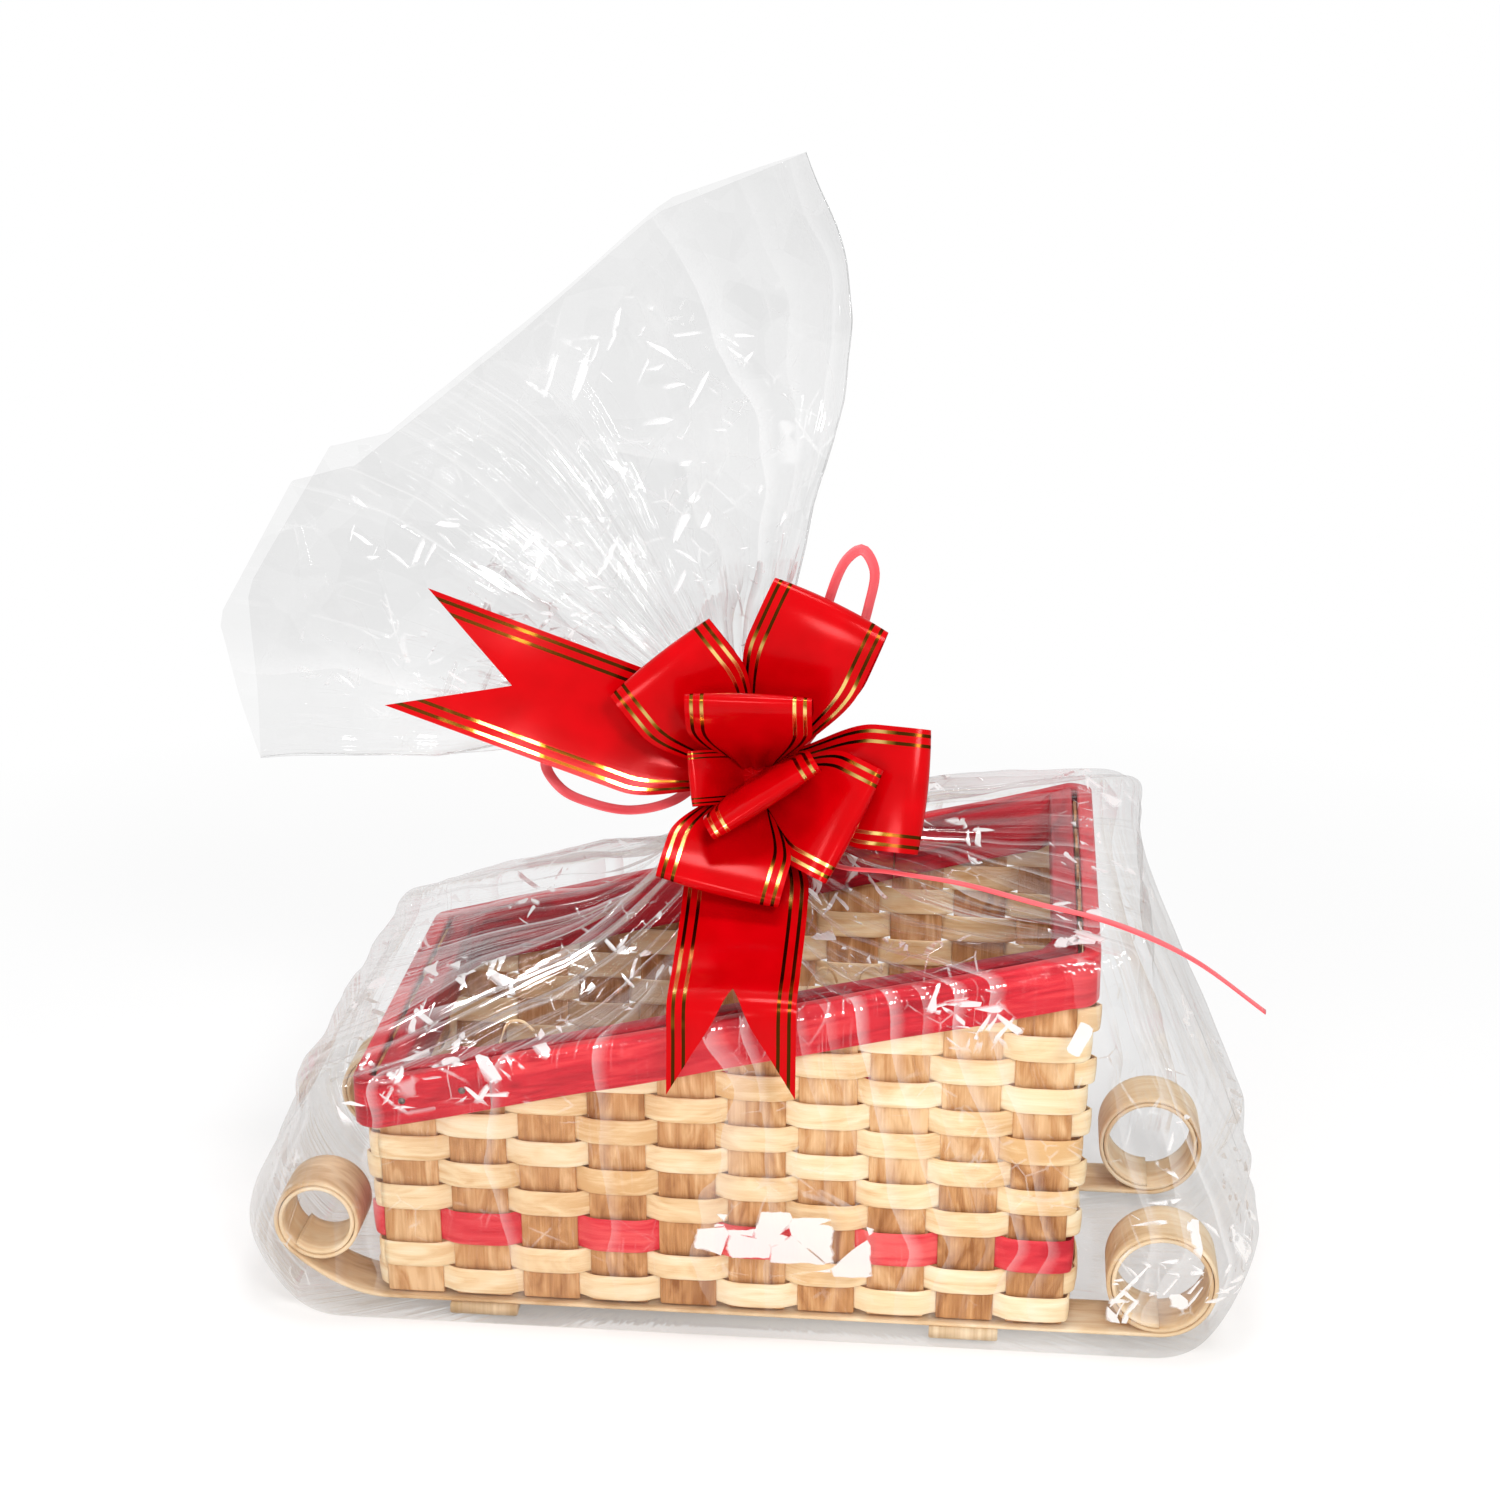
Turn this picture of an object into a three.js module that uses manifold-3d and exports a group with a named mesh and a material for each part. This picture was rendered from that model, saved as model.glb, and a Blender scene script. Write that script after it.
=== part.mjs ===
// Wicker hamper: a sleigh-shaped splint basket on curled runners, standing in a tied clear film bag
// with a pull bow. Millimetres, +Z up. X runs along the basket to its high end, Y from front to back.
// The origin lies on the surface that the hamper stands on, under the middle of the basket.
import * as THREE from "three";
import { mergeVertices } from "three/addons/utils/BufferGeometryUtils.js";
import Module from "manifold-3d";

// Clearance between pieces that touch
const GAP = 0.3;

// Basket walls
const HALF_LENGTH = 140.6;
const HIGH_END_LEAN = -0.012;
const BASE_HALF_DEPTH = 77.5;
const LONG_WALL_LEAN = 0.129;
const CORNER_DEPTH = 8;
const CORNER_FLARE = 0.05;

// Upright stakes
const STAKE_WIDTH = 23;
const STAKE_THICKNESS = 1.2;
const STAKE_BEND = 1.8;
const CROSS_STAKES = 10;
const LONG_STAKES = 5;
const STAKE_SINK = 2.5;
const EDGE_MARGIN = 2.3;

// Woven rows
const WEAVER_WIDTH = 11.2;
const WEAVER_THICKNESS = 1;
const ROW_GAP = 0.5;
const RED_ROW = 3;
const RED_WIDTH = 15.2;
const FIRST_ROW_LIFT = 2;
const PASS_MARGIN = 0.5;
const TOP_ROW_SINK = 6;

// Rim of two bands that sandwich the wall's top edge
const LOW_RIM = 111;
const HIGH_RIM = 181;
const BAND_HEIGHT = 22;
const OUTER_BAND = 5.5;
const INNER_BAND = 8.5;
const OUTER_SEAM_X = -91;
const INNER_SEAM_X = 60;
const SEAM_GAP = 0.6;
const RIM_CORNER = 3;
const LEAST_CORNER = 2;

// Runners
const RUNNER_WIDTH = 27;
const RUNNER_THICKNESS = 1.7;
const RUNNER_SPREAD = 131;
const HIGH_CURL_REACH = 37;
const HIGH_CURL_RADIUS = 23.6;
const LOW_CURL_RADIUS = 18.6;
const CURL_WALL_GAP = 6;
const LOW_CURL_LIFT = 14.4;
const CURL_GAP = 0.35;
const CURL_TURNS = 2;
const SWEEP_START = 2;
const SWEEP_EASE = 13;
const SWEEP_PULL = 18;

// Battens under the runners
const BATTEN_WIDTH = 28;
const BATTEN_HEIGHT = 4.5;
const BATTEN_STAKE = 1;
const BATTEN_OVERHANG = 1;

// Film bag
const FILM = 0.8;
const NECK_Z = 218;
const NECK_HALF_WIDTH = 13;
const NECK_HALF_DEPTH = 11;
const NECK_HALF_LENGTH = 6;
const FAN_LEFT = THREE.MathUtils.degToRad(184);
const FAN_RIGHT = THREE.MathUtils.degToRad(75);
const MOUTH_RIGHT = THREE.MathUtils.degToRad(85);
const MOUTH_HALF_DEPTH = 35;
const FAN_EDGE = 0.97;

// Bow of wide ribbon
const RIBBON_WIDTH = 50;
const RIBBON_THICKNESS = 0.6;
const BOW_X = 6;
const BOW_TILT = THREE.MathUtils.degToRad(20);
const CORE_RADIUS = 8;
const ROOT_WIDTH = 8;
const LOOP_HALF_HEIGHT = 6.5;
const NOTCH_DEPTH = 45;
const SIDE_TAIL_LENGTH = 150;
const SIDE_TAIL_ANGLE = THREE.MathUtils.degToRad(162);
const SIDE_TAIL_LEAN = THREE.MathUtils.degToRad(12);
const FRONT_TAIL_DROP = 38;
const FILM_CLEARANCE = 4;

// Narrow tie ribbon
const TIE_WIDTH = 6;
const TIE_THICKNESS = 1;
const CORD_WIDTH = 4.5;
const CORD_THICKNESS = 0.8;

// Rings of the bag's body: how far each stands off what is inside it at the low end, at the high end and
// along the sides, its corner radius, and its height over what is inside it at the low and the high end.
const FLOOR_RING = [-6, -4, 7, 24, 0, 0];
const BELLY_RING = [12, 16, 18, 36, 0, 12];
const SHOULDER_RING = [6, 8, 22, 36, 2, 12];
const UNDER_RIM_RING = [23, 22, 7, 24, -16, -28];
const OVER_RIM_RING = [17, 15, 6, 22, 6, 6];

// Rings of the tent from the rim to the neck: the share of the way in, the share of the way up, the rise of
// the back over the middle, the corner radius and the depth of the pleats.
const TENT_RINGS = [[0.46, 0.3, 7, 28, 6], [0.8, 0.55, 5, 18, 6], [0.985, 0.85, 0, 11, 2]];
const NECK_ROUNDING = 2;

// Reach of the film's mouth from its neck, at even steps from the right edge to the left edge.
const MOUTH_REACH = [243, 226, 203, 190, 189, 210, 214, 215, 203];

// Each loop of the bow: its direction seen from the front, how far it leans forward, its length, and the
// share of the ribbon's width that stands open.
const BOW_LOOPS = [
  { name: "bow_loop_top_right", turn: 66, lean: 22, reach: 80 },
  { name: "bow_loop_top", turn: 90, lean: 60, reach: 57 },
  { name: "bow_loop_upper_left", turn: 130, lean: 28, reach: 66 },
  { name: "bow_loop_left", turn: 188, lean: 52, reach: 38, spread: 0.44 },
  { name: "bow_loop_right", turn: -4, lean: 15, reach: 72 },
  { name: "bow_loop_lower_right", turn: -25, lean: 36, reach: 58 },
  { name: "bow_loop_front", turn: -55, lean: 74, reach: 50 },
  { name: "bow_loop_bottom", turn: -102, lean: 39, reach: 62 },
];

// Routes of the free stretches of tie ribbon: X, Y and the height over the neck's middle. The tail goes
// down over the film, so its third number is the share of the way up from the rim to the neck, and its
// fourth the height over that.
const TAIL_ROUTE = [
  [12.1, -10.6, 1, -1.5], [20, -24, 0.7, 0], [38, -50, 0.43, -2.4], [64, -59, 0.36, 0.2],
  [91, -67, 0.27, 3], [122, -84, 0.15, 6.5], [144, -98, 0.06, 10.3], [163, -109, 0, 10],
  [182, -113, 0, 2], [208, -115, 0, -16],
];
const UPPER_LOOP_ROUTE = [
  [17, 1, 3], [24, -4, 23], [30, -8, 49], [34, -10, 73], [41, -11, 91], [47, -10, 95],
  [52, -9, 87], [50, -7, 71], [42, -2, 43], [30, 4, 17], [17, 6, -2],
];
const LOWER_LOOP_ROUTE = [
  [-14.6, -7, 1], [-40, -14, 10], [-62, -16, 14], [-76, -17, 11], [-80, -19, 3],
  [-73, -21, -7], [-61, -22, -12], [-45, -22, -14.5], [-28, -19, -11], [-14.6, -8, -3],
];

const COLOURS = {
  stake: 0xb98a5a, weaver: 0xe3c796, redSplint: 0xc3303a, rim: 0xb5202c, runner: 0xdcc19a,
  batten: 0xd8bd98, film: 0xeef2f4, ribbon: 0xd8121c, tie: 0xe85a60,
};

// Levels and offsets that follow from the sizes above
const runnerBottom = FILM + GAP + BATTEN_HEIGHT + GAP;
const runnerMiddle = runnerBottom + RUNNER_THICKNESS / 2;
const weaveLift = (STAKE_THICKNESS + GAP) / 2;
const baseMiddle = runnerBottom + RUNNER_THICKNESS + GAP + weaveLift + STAKE_THICKNESS / 2;
const passOffset = STAKE_THICKNESS / 2 + GAP + WEAVER_THICKNESS / 2;
const bandOffset = passOffset + WEAVER_THICKNESS / 2 + GAP;
const runnerEdge = (RUNNER_SPREAD + RUNNER_WIDTH) / 2;
const rimReach = HALF_LENGTH + bandOffset + OUTER_BAND;
const passReach = (STAKE_WIDTH + PASS_MARGIN) / 2;
const crossEdge = HALF_LENGTH - EDGE_MARGIN;
const crossPitch = (2 * crossEdge - STAKE_WIDTH) / (CROSS_STAKES - 1);
const longPitch = (2 * (BASE_HALF_DEPTH - CORNER_DEPTH - passReach)) / (LONG_STAKES - 1);
const highCurlX = HALF_LENGTH + HIGH_CURL_REACH;
const lowCurlX = -HALF_LENGTH - bandOffset - CURL_WALL_GAP - LOW_CURL_RADIUS;

const lerp = THREE.MathUtils.lerp;
const vector = (x, y, z) => new THREE.Vector3(x, y, z);
const along = (start, direction, length) => start.clone().addScaledVector(direction, length);

const wallHalfDepth = (z) => BASE_HALF_DEPTH + LONG_WALL_LEAN * (z - baseMiddle);
const wallHalfLength = (side, z) => HALF_LENGTH + (side > 0 ? HIGH_END_LEAN * (z - baseMiddle) : 0);
const rimDepth = wallHalfDepth(HIGH_RIM) + bandOffset + OUTER_BAND;

function rimTop(x) {
  const share = THREE.MathUtils.clamp((x + HALF_LENGTH) / (2 * HALF_LENGTH), 0, 1);
  return lerp(LOW_RIM, HIGH_RIM, share);
}

const wasm = await Module();
wasm.setup();

function toSolid(geometry) {
  const bare = new THREE.BufferGeometry();
  bare.setAttribute("position", geometry.getAttribute("position").clone());
  bare.setIndex(geometry.index);
  const merged = mergeVertices(bare, 1e-4);
  const mesh = new wasm.Mesh({
    numProp: 3,
    vertProperties: new Float32Array(merged.getAttribute("position").array),
    triVerts: new Uint32Array(merged.index.array),
  });
  return new wasm.Manifold(mesh);
}

function toGeometry(solid) {
  const mesh = solid.getMesh();
  const geometry = new THREE.BufferGeometry();
  geometry.setAttribute("position", new THREE.BufferAttribute(mesh.vertProperties, 3));
  geometry.setIndex(new THREE.BufferAttribute(mesh.triVerts, 1));
  return geometry;
}

// A geometry from points and faces, turned so that its faces point outwards.
function closedGeometry(points, faces) {
  let volume = 0;
  for (let i = 0; i < faces.length; i += 3) {
    const [a, b, c] = faces.slice(i, i + 3).map((index) => points[index]);
    volume += a.dot(b.clone().cross(c));
  }
  const geometry = new THREE.BufferGeometry().setFromPoints(points);
  geometry.setIndex(volume < 0 ? faces.toReversed() : faces);
  return geometry;
}

// Faces between consecutive rings of points, numbered from first.
function bandFaces(first, rings, sides, joined) {
  const faces = [];
  const spans = joined ? rings : rings - 1;
  for (let ring = 0; ring < spans; ring++) {
    const here = first + ring * sides;
    const next = first + ((ring + 1) % rings) * sides;
    for (let side = 0; side < sides; side++) {
      const other = (side + 1) % sides;
      faces.push(here + side, here + other, next + other);
      faces.push(here + side, next + other, next + side);
    }
  }
  return faces;
}

// A body through rings of equal counts: closed round to its start, or capped at both ends.
function loft(rings, joined = false) {
  const sides = rings[0].length;
  const faces = bandFaces(0, rings.length, sides, joined);
  const last = (rings.length - 1) * sides;
  if (!joined) {
    for (let side = 1; side < sides - 1; side++) {
      faces.push(0, side + 1, side);
      faces.push(last, last + side, last + side + 1);
    }
  }
  return closedGeometry(rings.flat(), faces);
}

// The four corners of a flat strip's section.
function section(centre, across, width, out, thickness) {
  const corner = (a, b) => along(along(centre, across, (a * width) / 2), out, (b * thickness) / 2);
  return [corner(-1, -1), corner(1, -1), corner(1, 1), corner(-1, 1)];
}

const group = new THREE.Group();

function addPart(name, geometry, colour, roughness = 0.6) {
  const material = new THREE.MeshStandardMaterial({ color: COLOURS[colour], roughness, metalness: 0 });
  const mesh = new THREE.Mesh(geometry, material);
  mesh.name = name;
  group.add(mesh);
  return mesh;
}

// Places on the wall. Each gives a point for a height and an offset out of the wall's middle surface.
const longPlace = (side, x) => (z, offset) => vector(x, side * (wallHalfDepth(z) + offset), z);

const endStakeY = (index, z) =>
  (index - (LONG_STAKES - 1) / 2) * longPitch * (wallHalfDepth(z) / BASE_HALF_DEPTH);

const endPlace = (side, index, shift) => (z, offset) =>
  vector(side * (wallHalfLength(side, z) + offset), endStakeY(index, z) + shift, z);

// Round a corner the splints stand off the stakes in a loose loop, which is wider higher up.
const loopPlace = (sideX, sideY, degrees) => (z, offset) => {
  const angle = THREE.MathUtils.degToRad(degrees);
  const bulge = CORNER_FLARE * (z - baseMiddle);
  const x = lerp(crossEdge + PASS_MARGIN, wallHalfLength(sideX, z) + offset + bulge, Math.cos(angle));
  const y = wallHalfDepth(z) + offset - CORNER_DEPTH * (1 - Math.sin(angle));
  return vector(sideX * x, sideY * y, z);
};

// Between the rim bands they turn the corner tightly, on an arc about the bands' own centre.
const cornerPlace = (sideX, sideY, degrees) => (z, offset) => {
  const angle = THREE.MathUtils.degToRad(degrees);
  const radius = Math.max(RIM_CORNER + offset, LEAST_CORNER);
  const x = wallHalfLength(sideX, z) + offset - radius * (1 - Math.cos(angle));
  const y = wallHalfDepth(z) + offset - radius * (1 - Math.sin(angle));
  return vector(sideX * x, sideY * y, z);
};

const crossStakeX = (index) => (index - (CROSS_STAKES - 1) / 2) * crossPitch;

// Cross stakes run down the front wall, under the base and up the back wall, woven through the long ones.
function crossStake(index) {
  const x = crossStakeX(index);
  const top = rimTop(x - STAKE_WIDTH / 2) - STAKE_SINK;
  const leanLength = Math.hypot(1, LONG_WALL_LEAN);
  const path = [];
  for (const side of [-1, 1]) {
    const wallOut = vector(0, side, -LONG_WALL_LEAN).divideScalar(leanLength);
    const foot = side * (BASE_HALF_DEPTH - STAKE_BEND);
    const bend = [45, 0].map((degrees) => {
      const angle = THREE.MathUtils.degToRad(degrees);
      const out = vector(0, side * Math.cos(angle), -Math.sin(angle));
      const centre = vector(x, foot, baseMiddle + STAKE_BEND);
      return { centre: along(centre, out, STAKE_BEND), out };
    });
    const half = [
      { centre: vector(x, foot, baseMiddle), out: vector(0, 0, -1) },
      ...bend,
      { centre: vector(x, side * wallHalfDepth(top), top), out: wallOut },
    ];
    path.push(...(side < 0 ? half.reverse() : half));
  }
  path.splice(4, 0, ...basePasses(LONG_STAKES, longPitch, (y) => vector(x, y, 0), index));
  return loft(path.map((p) => section(p.centre, vector(1, 0, 0), STAKE_WIDTH, p.out, STAKE_THICKNESS)));
}

// Over and under passes of one base stake across the others, from the low end of the axis up.
function basePasses(count, pitch, place, phase) {
  const passes = [];
  for (let n = 0; n < count; n++) {
    const middle = (n - (count - 1) / 2) * pitch;
    const lift = (n + phase) % 2 ? weaveLift : -weaveLift;
    for (const end of [-1, 1]) {
      const centre = place(middle + end * passReach);
      centre.z = baseMiddle + lift;
      passes.push({ centre, out: vector(0, 0, -1) });
    }
  }
  return passes;
}

// Long stakes run up the low end wall, along the base and up the high end wall, fanning with the walls.
function longStake(index) {
  const y = endStakeY(index, baseMiddle);
  const path = [];
  for (const side of [-1, 1]) {
    const top = (side < 0 ? LOW_RIM : HIGH_RIM) - STAKE_SINK;
    const foot = side * (HALF_LENGTH - STAKE_BEND);
    const bend = [45, 0].map((degrees) => {
      const angle = THREE.MathUtils.degToRad(degrees);
      const out = vector(side * Math.cos(angle), 0, -Math.sin(angle));
      const centre = vector(foot, y, baseMiddle + STAKE_BEND);
      return { centre: along(centre, out, STAKE_BEND), out };
    });
    const half = [
      { centre: vector(foot, y, baseMiddle), out: vector(0, 0, -1) },
      ...bend,
      { centre: endPlace(side, index, 0)(top, 0), out: vector(side, 0, 0) },
    ];
    path.push(...(side < 0 ? half.reverse() : half));
  }
  path.splice(4, 0, ...basePasses(CROSS_STAKES, crossPitch, (x) => vector(x, y, 0), index + 1));
  return loft(path.map((p) => section(p.centre, vector(0, 1, 0), STAKE_WIDTH, p.out, STAKE_THICKNESS)));
}

// Every stake crossing and corner on the way round the wall, from the front's low end. A row whose top is
// under the rim bands at an end goes loosely round that end's corners.
function wallStops(top) {
  const stops = [];
  let crossing = 0;
  const addLong = (side, order) => {
    for (const index of order) {
      const x = crossStakeX(index);
      const places = [side, -side].map((end) => longPlace(side, x + end * passReach));
      stops.push({ crossing, x, places, long: true });
      crossing += 1;
    }
  };
  const addEnd = (side, order) => {
    for (const index of order) {
      const places = [-side, side].map((end) => endPlace(side, index, end * passReach));
      stops.push({ crossing, x: side * HALF_LENGTH, places });
      crossing += 1;
    }
  };
  const addCorner = (sideX, sideY, degrees) => {
    const loose = top < rimTop(sideX * HALF_LENGTH) - BAND_HEIGHT - GAP;
    const places = degrees.map((d) => (loose ? loopPlace : cornerPlace)(sideX, sideY, d));
    stops.push({ crossing: null, x: sideX * HALF_LENGTH, places });
  };
  const upwards = [...Array(CROSS_STAKES).keys()];
  const backwards = [...Array(LONG_STAKES).keys()];
  addLong(-1, upwards);
  addCorner(1, -1, [65, 35, 10]);
  addEnd(1, backwards);
  addCorner(1, 1, [10, 35, 65]);
  addLong(1, upwards.toReversed());
  addCorner(-1, 1, [65, 35, 10]);
  addEnd(-1, backwards.toReversed());
  addCorner(-1, -1, [10, 35, 65]);
  return stops;
}

const rowWidth = (row) => (row === RED_ROW ? RED_WIDTH : WEAVER_WIDTH);

function rowBottom(row) {
  let z = baseMiddle + FIRST_ROW_LIFT;
  for (let below = 1; below < row; below++) z += rowWidth(below) + ROW_GAP;
  return z;
}

const rowTop = (row) => rowBottom(row) + rowWidth(row);

// One woven row: in front of one stake and behind the next. A row too high for the low end runs from
// under the front rim round the high end to under the back rim. One that would reach a single stake of
// each long wall keeps to the end wall.
function weaver(row) {
  const bottom = rowBottom(row);
  const top = rowTop(row);
  const stops = wallStops(top);
  let used = stops.filter((stop) => top <= rimTop(stop.x - passReach) - TOP_ROW_SINK);
  if (used.filter((stop) => stop.long).length < 3) used = used.filter((stop) => !stop.long);
  const sideOf = (crossing) => ((crossing + row) % 2 ? -1 : 1);
  const sideBeside = (stop, other) => sideOf((stop.crossing === null ? other : stop).crossing);
  const rings = [];
  used.forEach((stop, order) => {
    const before = used[(order + used.length - 1) % used.length];
    const after = used[(order + 1) % used.length];
    const atCorner = stop.crossing === null;
    const from = atCorner ? sideBeside(before, after) : sideOf(stop.crossing);
    const to = atCorner ? sideBeside(after, before) : from;
    stop.places.forEach((place, n) => {
      const turned = lerp(from, to, (n + 0.5) / stop.places.length);
      rings.push(weaverRing(place, bottom, top, turned * passOffset));
    });
  });
  return loft(rings, used.length === stops.length);
}

function weaverRing(place, bottom, top, offset) {
  const inner = offset - WEAVER_THICKNESS / 2;
  const outer = offset + WEAVER_THICKNESS / 2;
  return [place(bottom, inner), place(bottom, outer), place(top, outer), place(top, inner)];
}

// A rim band follows the top of the wall all round and butts its ends together at a seam in one long side.
function rimBand(seamX, seamSide, near, far) {
  const straight = wallHalfLength(1, HIGH_RIM) - bandOffset - INNER_BAND - 2 * LEAST_CORNER;
  const xs = [-1, -0.6, -0.2, 0.2, 0.6, 1].map((share) => share * straight);
  const quarter = [90, 60, 30, 0];
  const places = [];
  const addLong = (side, order) => order.forEach((x) => places.push(longPlace(side, x)));
  const addCorner = (sideX, sideY, order) => {
    order.forEach((degrees) => places.push(cornerPlace(sideX, sideY, degrees)));
  };
  addLong(seamSide, [seamX + SEAM_GAP / 2, ...xs.filter((x) => x > seamX + SEAM_GAP)]);
  addCorner(1, seamSide, quarter);
  addCorner(1, -seamSide, quarter.toReversed());
  addLong(-seamSide, xs.toReversed());
  addCorner(-1, -seamSide, quarter);
  addCorner(-1, seamSide, quarter.toReversed());
  addLong(seamSide, [...xs.filter((x) => x < seamX - SEAM_GAP), seamX - SEAM_GAP / 2]);
  const rings = places.map((place) => {
    const top = rimTop(place(LOW_RIM, 0).x);
    const bottom = top - BAND_HEIGHT;
    return [place(bottom, near), place(bottom, far), place(top, far), place(top, near)];
  });
  return loft(rings);
}

// A curl of the runner's middle line: points and normals from one angle on, winding inwards.
function curl(centre, radius, startDegrees, turnSign, turns) {
  const stepsPerTurn = 18;
  const steps = Math.round(stepsPerTurn * turns);
  const path = [];
  for (let step = 0; step <= steps; step++) {
    const turned = (step / stepsPerTurn) * 2 * Math.PI;
    const angle = THREE.MathUtils.degToRad(startDegrees) + turnSign * turned;
    const out = vector(Math.cos(angle), 0, Math.sin(angle));
    const wound = radius - ((RUNNER_THICKNESS + CURL_GAP) * step) / stepsPerTurn;
    path.push({ centre: along(centre, out, wound), out });
  }
  return path;
}

// A bent strip: straight under the basket, swept up at the low end, and curled over at both ends.
function runner(y) {
  const highRadius = HIGH_CURL_RADIUS - RUNNER_THICKNESS / 2;
  const lowRadius = LOW_CURL_RADIUS - RUNNER_THICKNESS / 2;
  const highCentre = vector(highCurlX, y, runnerMiddle + highRadius);
  const lowCentre = vector(lowCurlX, y, runnerMiddle + LOW_CURL_LIFT + lowRadius);
  const lowStart = 228;
  const low = curl(lowCentre, lowRadius, lowStart, -1, CURL_TURNS);
  const lift = low[0].centre;
  const heading = THREE.MathUtils.degToRad(lowStart);
  const rising = vector(Math.sin(heading), 0, -Math.cos(heading));
  const flatEnd = vector(SWEEP_START - HALF_LENGTH, y, runnerMiddle);
  const eased = vector(flatEnd.x - SWEEP_EASE, y, runnerMiddle);
  const sweep = new THREE.CubicBezierCurve3(lift, along(lift, rising, -SWEEP_PULL), eased, flatEnd);
  const sweepSteps = 7;
  const swept = [];
  for (let step = 1; step <= sweepSteps; step++) {
    const tangent = sweep.getTangent(step / sweepSteps);
    swept.push({ centre: sweep.getPoint(step / sweepSteps), out: vector(tangent.z, 0, -tangent.x) });
  }
  const path = [...low.toReversed(), ...swept, ...curl(highCentre, highRadius, -90, 1, CURL_TURNS)];
  return loft(path.map((p) => section(p.centre, vector(0, 1, 0), RUNNER_WIDTH, p.out, RUNNER_THICKNESS)));
}

// Points of a rounded rectangle with the given half sizes, counter-clockwise from the right.
function roundedRing(halfX, halfY, radius) {
  const cornerSteps = 4;
  const longSteps = 4;
  const shortSteps = 2;
  const turns = [[1, 1], [-1, 1], [-1, -1], [1, -1]];
  const points = [];
  turns.forEach(([sx, sy], quarter) => {
    const centre = [sx * (halfX - radius), sy * (halfY - radius)];
    for (let step = 0; step <= cornerSteps; step++) {
      const angle = (quarter + step / cornerSteps) * (Math.PI / 2);
      points.push([centre[0] + radius * Math.cos(angle), centre[1] + radius * Math.sin(angle)]);
    }
    const [nx, ny] = turns[(quarter + 1) % 4];
    const sideSteps = quarter % 2 ? shortSteps : longSteps;
    const from = points[points.length - 1];
    const to = quarter % 2 ? [from[0], ny * (halfY - radius)] : [nx * (halfX - radius), from[1]];
    for (let step = 1; step < sideSteps; step++) {
      points.push([lerp(from[0], to[0], step / sideSteps), lerp(from[1], to[1], step / sideSteps)]);
    }
  });
  return points;
}

// Rings of the bag's body, from the floor up to the neck.
function bodyRings() {
  const lowReach = -lowCurlX + LOW_CURL_RADIUS;
  const highReach = highCurlX + HIGH_CURL_RADIUS;
  const curlMiddle = runnerBottom + HIGH_CURL_RADIUS;
  const curlTop = runnerBottom + LOW_CURL_LIFT + 2 * LOW_CURL_RADIUS;
  const around = ([left, right, side, corner, low, high], inside) => ({
    left: -inside.left - left,
    right: inside.right + right,
    depth: inside.depth + side,
    corner,
    low: inside.low + low,
    high: inside.high + high,
  });
  const runners = { left: lowReach, right: highReach, depth: runnerEdge };
  const rim = { left: rimReach, right: rimReach, depth: rimDepth, low: LOW_RIM, high: HIGH_RIM };
  const floor = around(FLOOR_RING, { ...runners, low: 0, high: 0 });
  const belly = around(BELLY_RING, { ...runners, low: curlMiddle, high: curlMiddle });
  const shoulder = around(SHOULDER_RING, { ...runners, low: curlTop, high: curlTop });
  const underRim = around(UNDER_RIM_RING, rim);
  const overRim = around(OVER_RIM_RING, rim);
  const neck = {
    left: -NECK_HALF_WIDTH,
    right: NECK_HALF_WIDTH,
    depth: NECK_HALF_DEPTH,
    corner: NECK_HALF_DEPTH - NECK_ROUNDING,
    low: NECK_Z - NECK_HALF_LENGTH,
    high: NECK_Z - NECK_HALF_LENGTH,
  };
  const tent = ([inwards, upwards, rise, corner, pleat]) => ({
    left: lerp(overRim.left, neck.left, inwards),
    right: lerp(overRim.right, neck.right, inwards),
    depth: lerp(overRim.depth, neck.depth, inwards),
    low: lerp(overRim.low, neck.low, upwards),
    high: lerp(overRim.high, neck.high, upwards),
    rise,
    corner,
    pleat,
  });
  const top = { ...neck, low: NECK_Z + NECK_HALF_LENGTH, high: NECK_Z + NECK_HALF_LENGTH };
  return [floor, belly, shoulder, underRim, overRim, ...TENT_RINGS.map(tent), neck, top];
}

function bodyRingPoints(ring) {
  const halfX = (ring.right - ring.left) / 2;
  const middle = (ring.right + ring.left) / 2;
  return roundedRing(halfX, ring.depth, ring.corner).map(([x, y], n) => {
    const slope = lerp(ring.low, ring.high, (x + halfX) / (2 * halfX));
    const rise = ((ring.rise ?? 0) * y) / ring.depth;
    const pleat = n % 2 ? ring.pleat ?? 0 : 0;
    return vector(middle + x, y, slope + rise - pleat);
  });
}

function mouthReach(share) {
  const place = share * (MOUTH_REACH.length - 1);
  const step = Math.min(Math.floor(place), MOUTH_REACH.length - 2);
  return lerp(MOUTH_REACH[step], MOUTH_REACH[step + 1], place - step);
}

// Rings of the flared top above the neck: a flat fan of two layers that leans to the low end.
function fanRingPoints(out) {
  const origin = vector(0, 0, NECK_Z + NECK_HALF_LENGTH + 2);
  const neckRing = roundedRing(NECK_HALF_WIDTH, NECK_HALF_DEPTH, NECK_HALF_DEPTH - NECK_ROUNDING);
  const halfDepth = lerp(NECK_HALF_DEPTH, MOUTH_HALF_DEPTH, out * out);
  return neckRing.map(([x, y]) => {
    const across = x / NECK_HALF_WIDTH;
    const share = (1 - across) / 2;
    const angle = lerp(lerp(FAN_RIGHT, MOUTH_RIGHT, out ** 5), FAN_LEFT, share);
    const reach = mouthReach(share) * out;
    const lens = Math.sqrt(1 - (FAN_EDGE * across) ** 2);
    const point = vector(Math.cos(angle) * reach, 0, Math.sin(angle) * reach).add(origin);
    point.y = (y / NECK_HALF_DEPTH) * halfDepth * lens;
    return point;
  });
}

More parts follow.
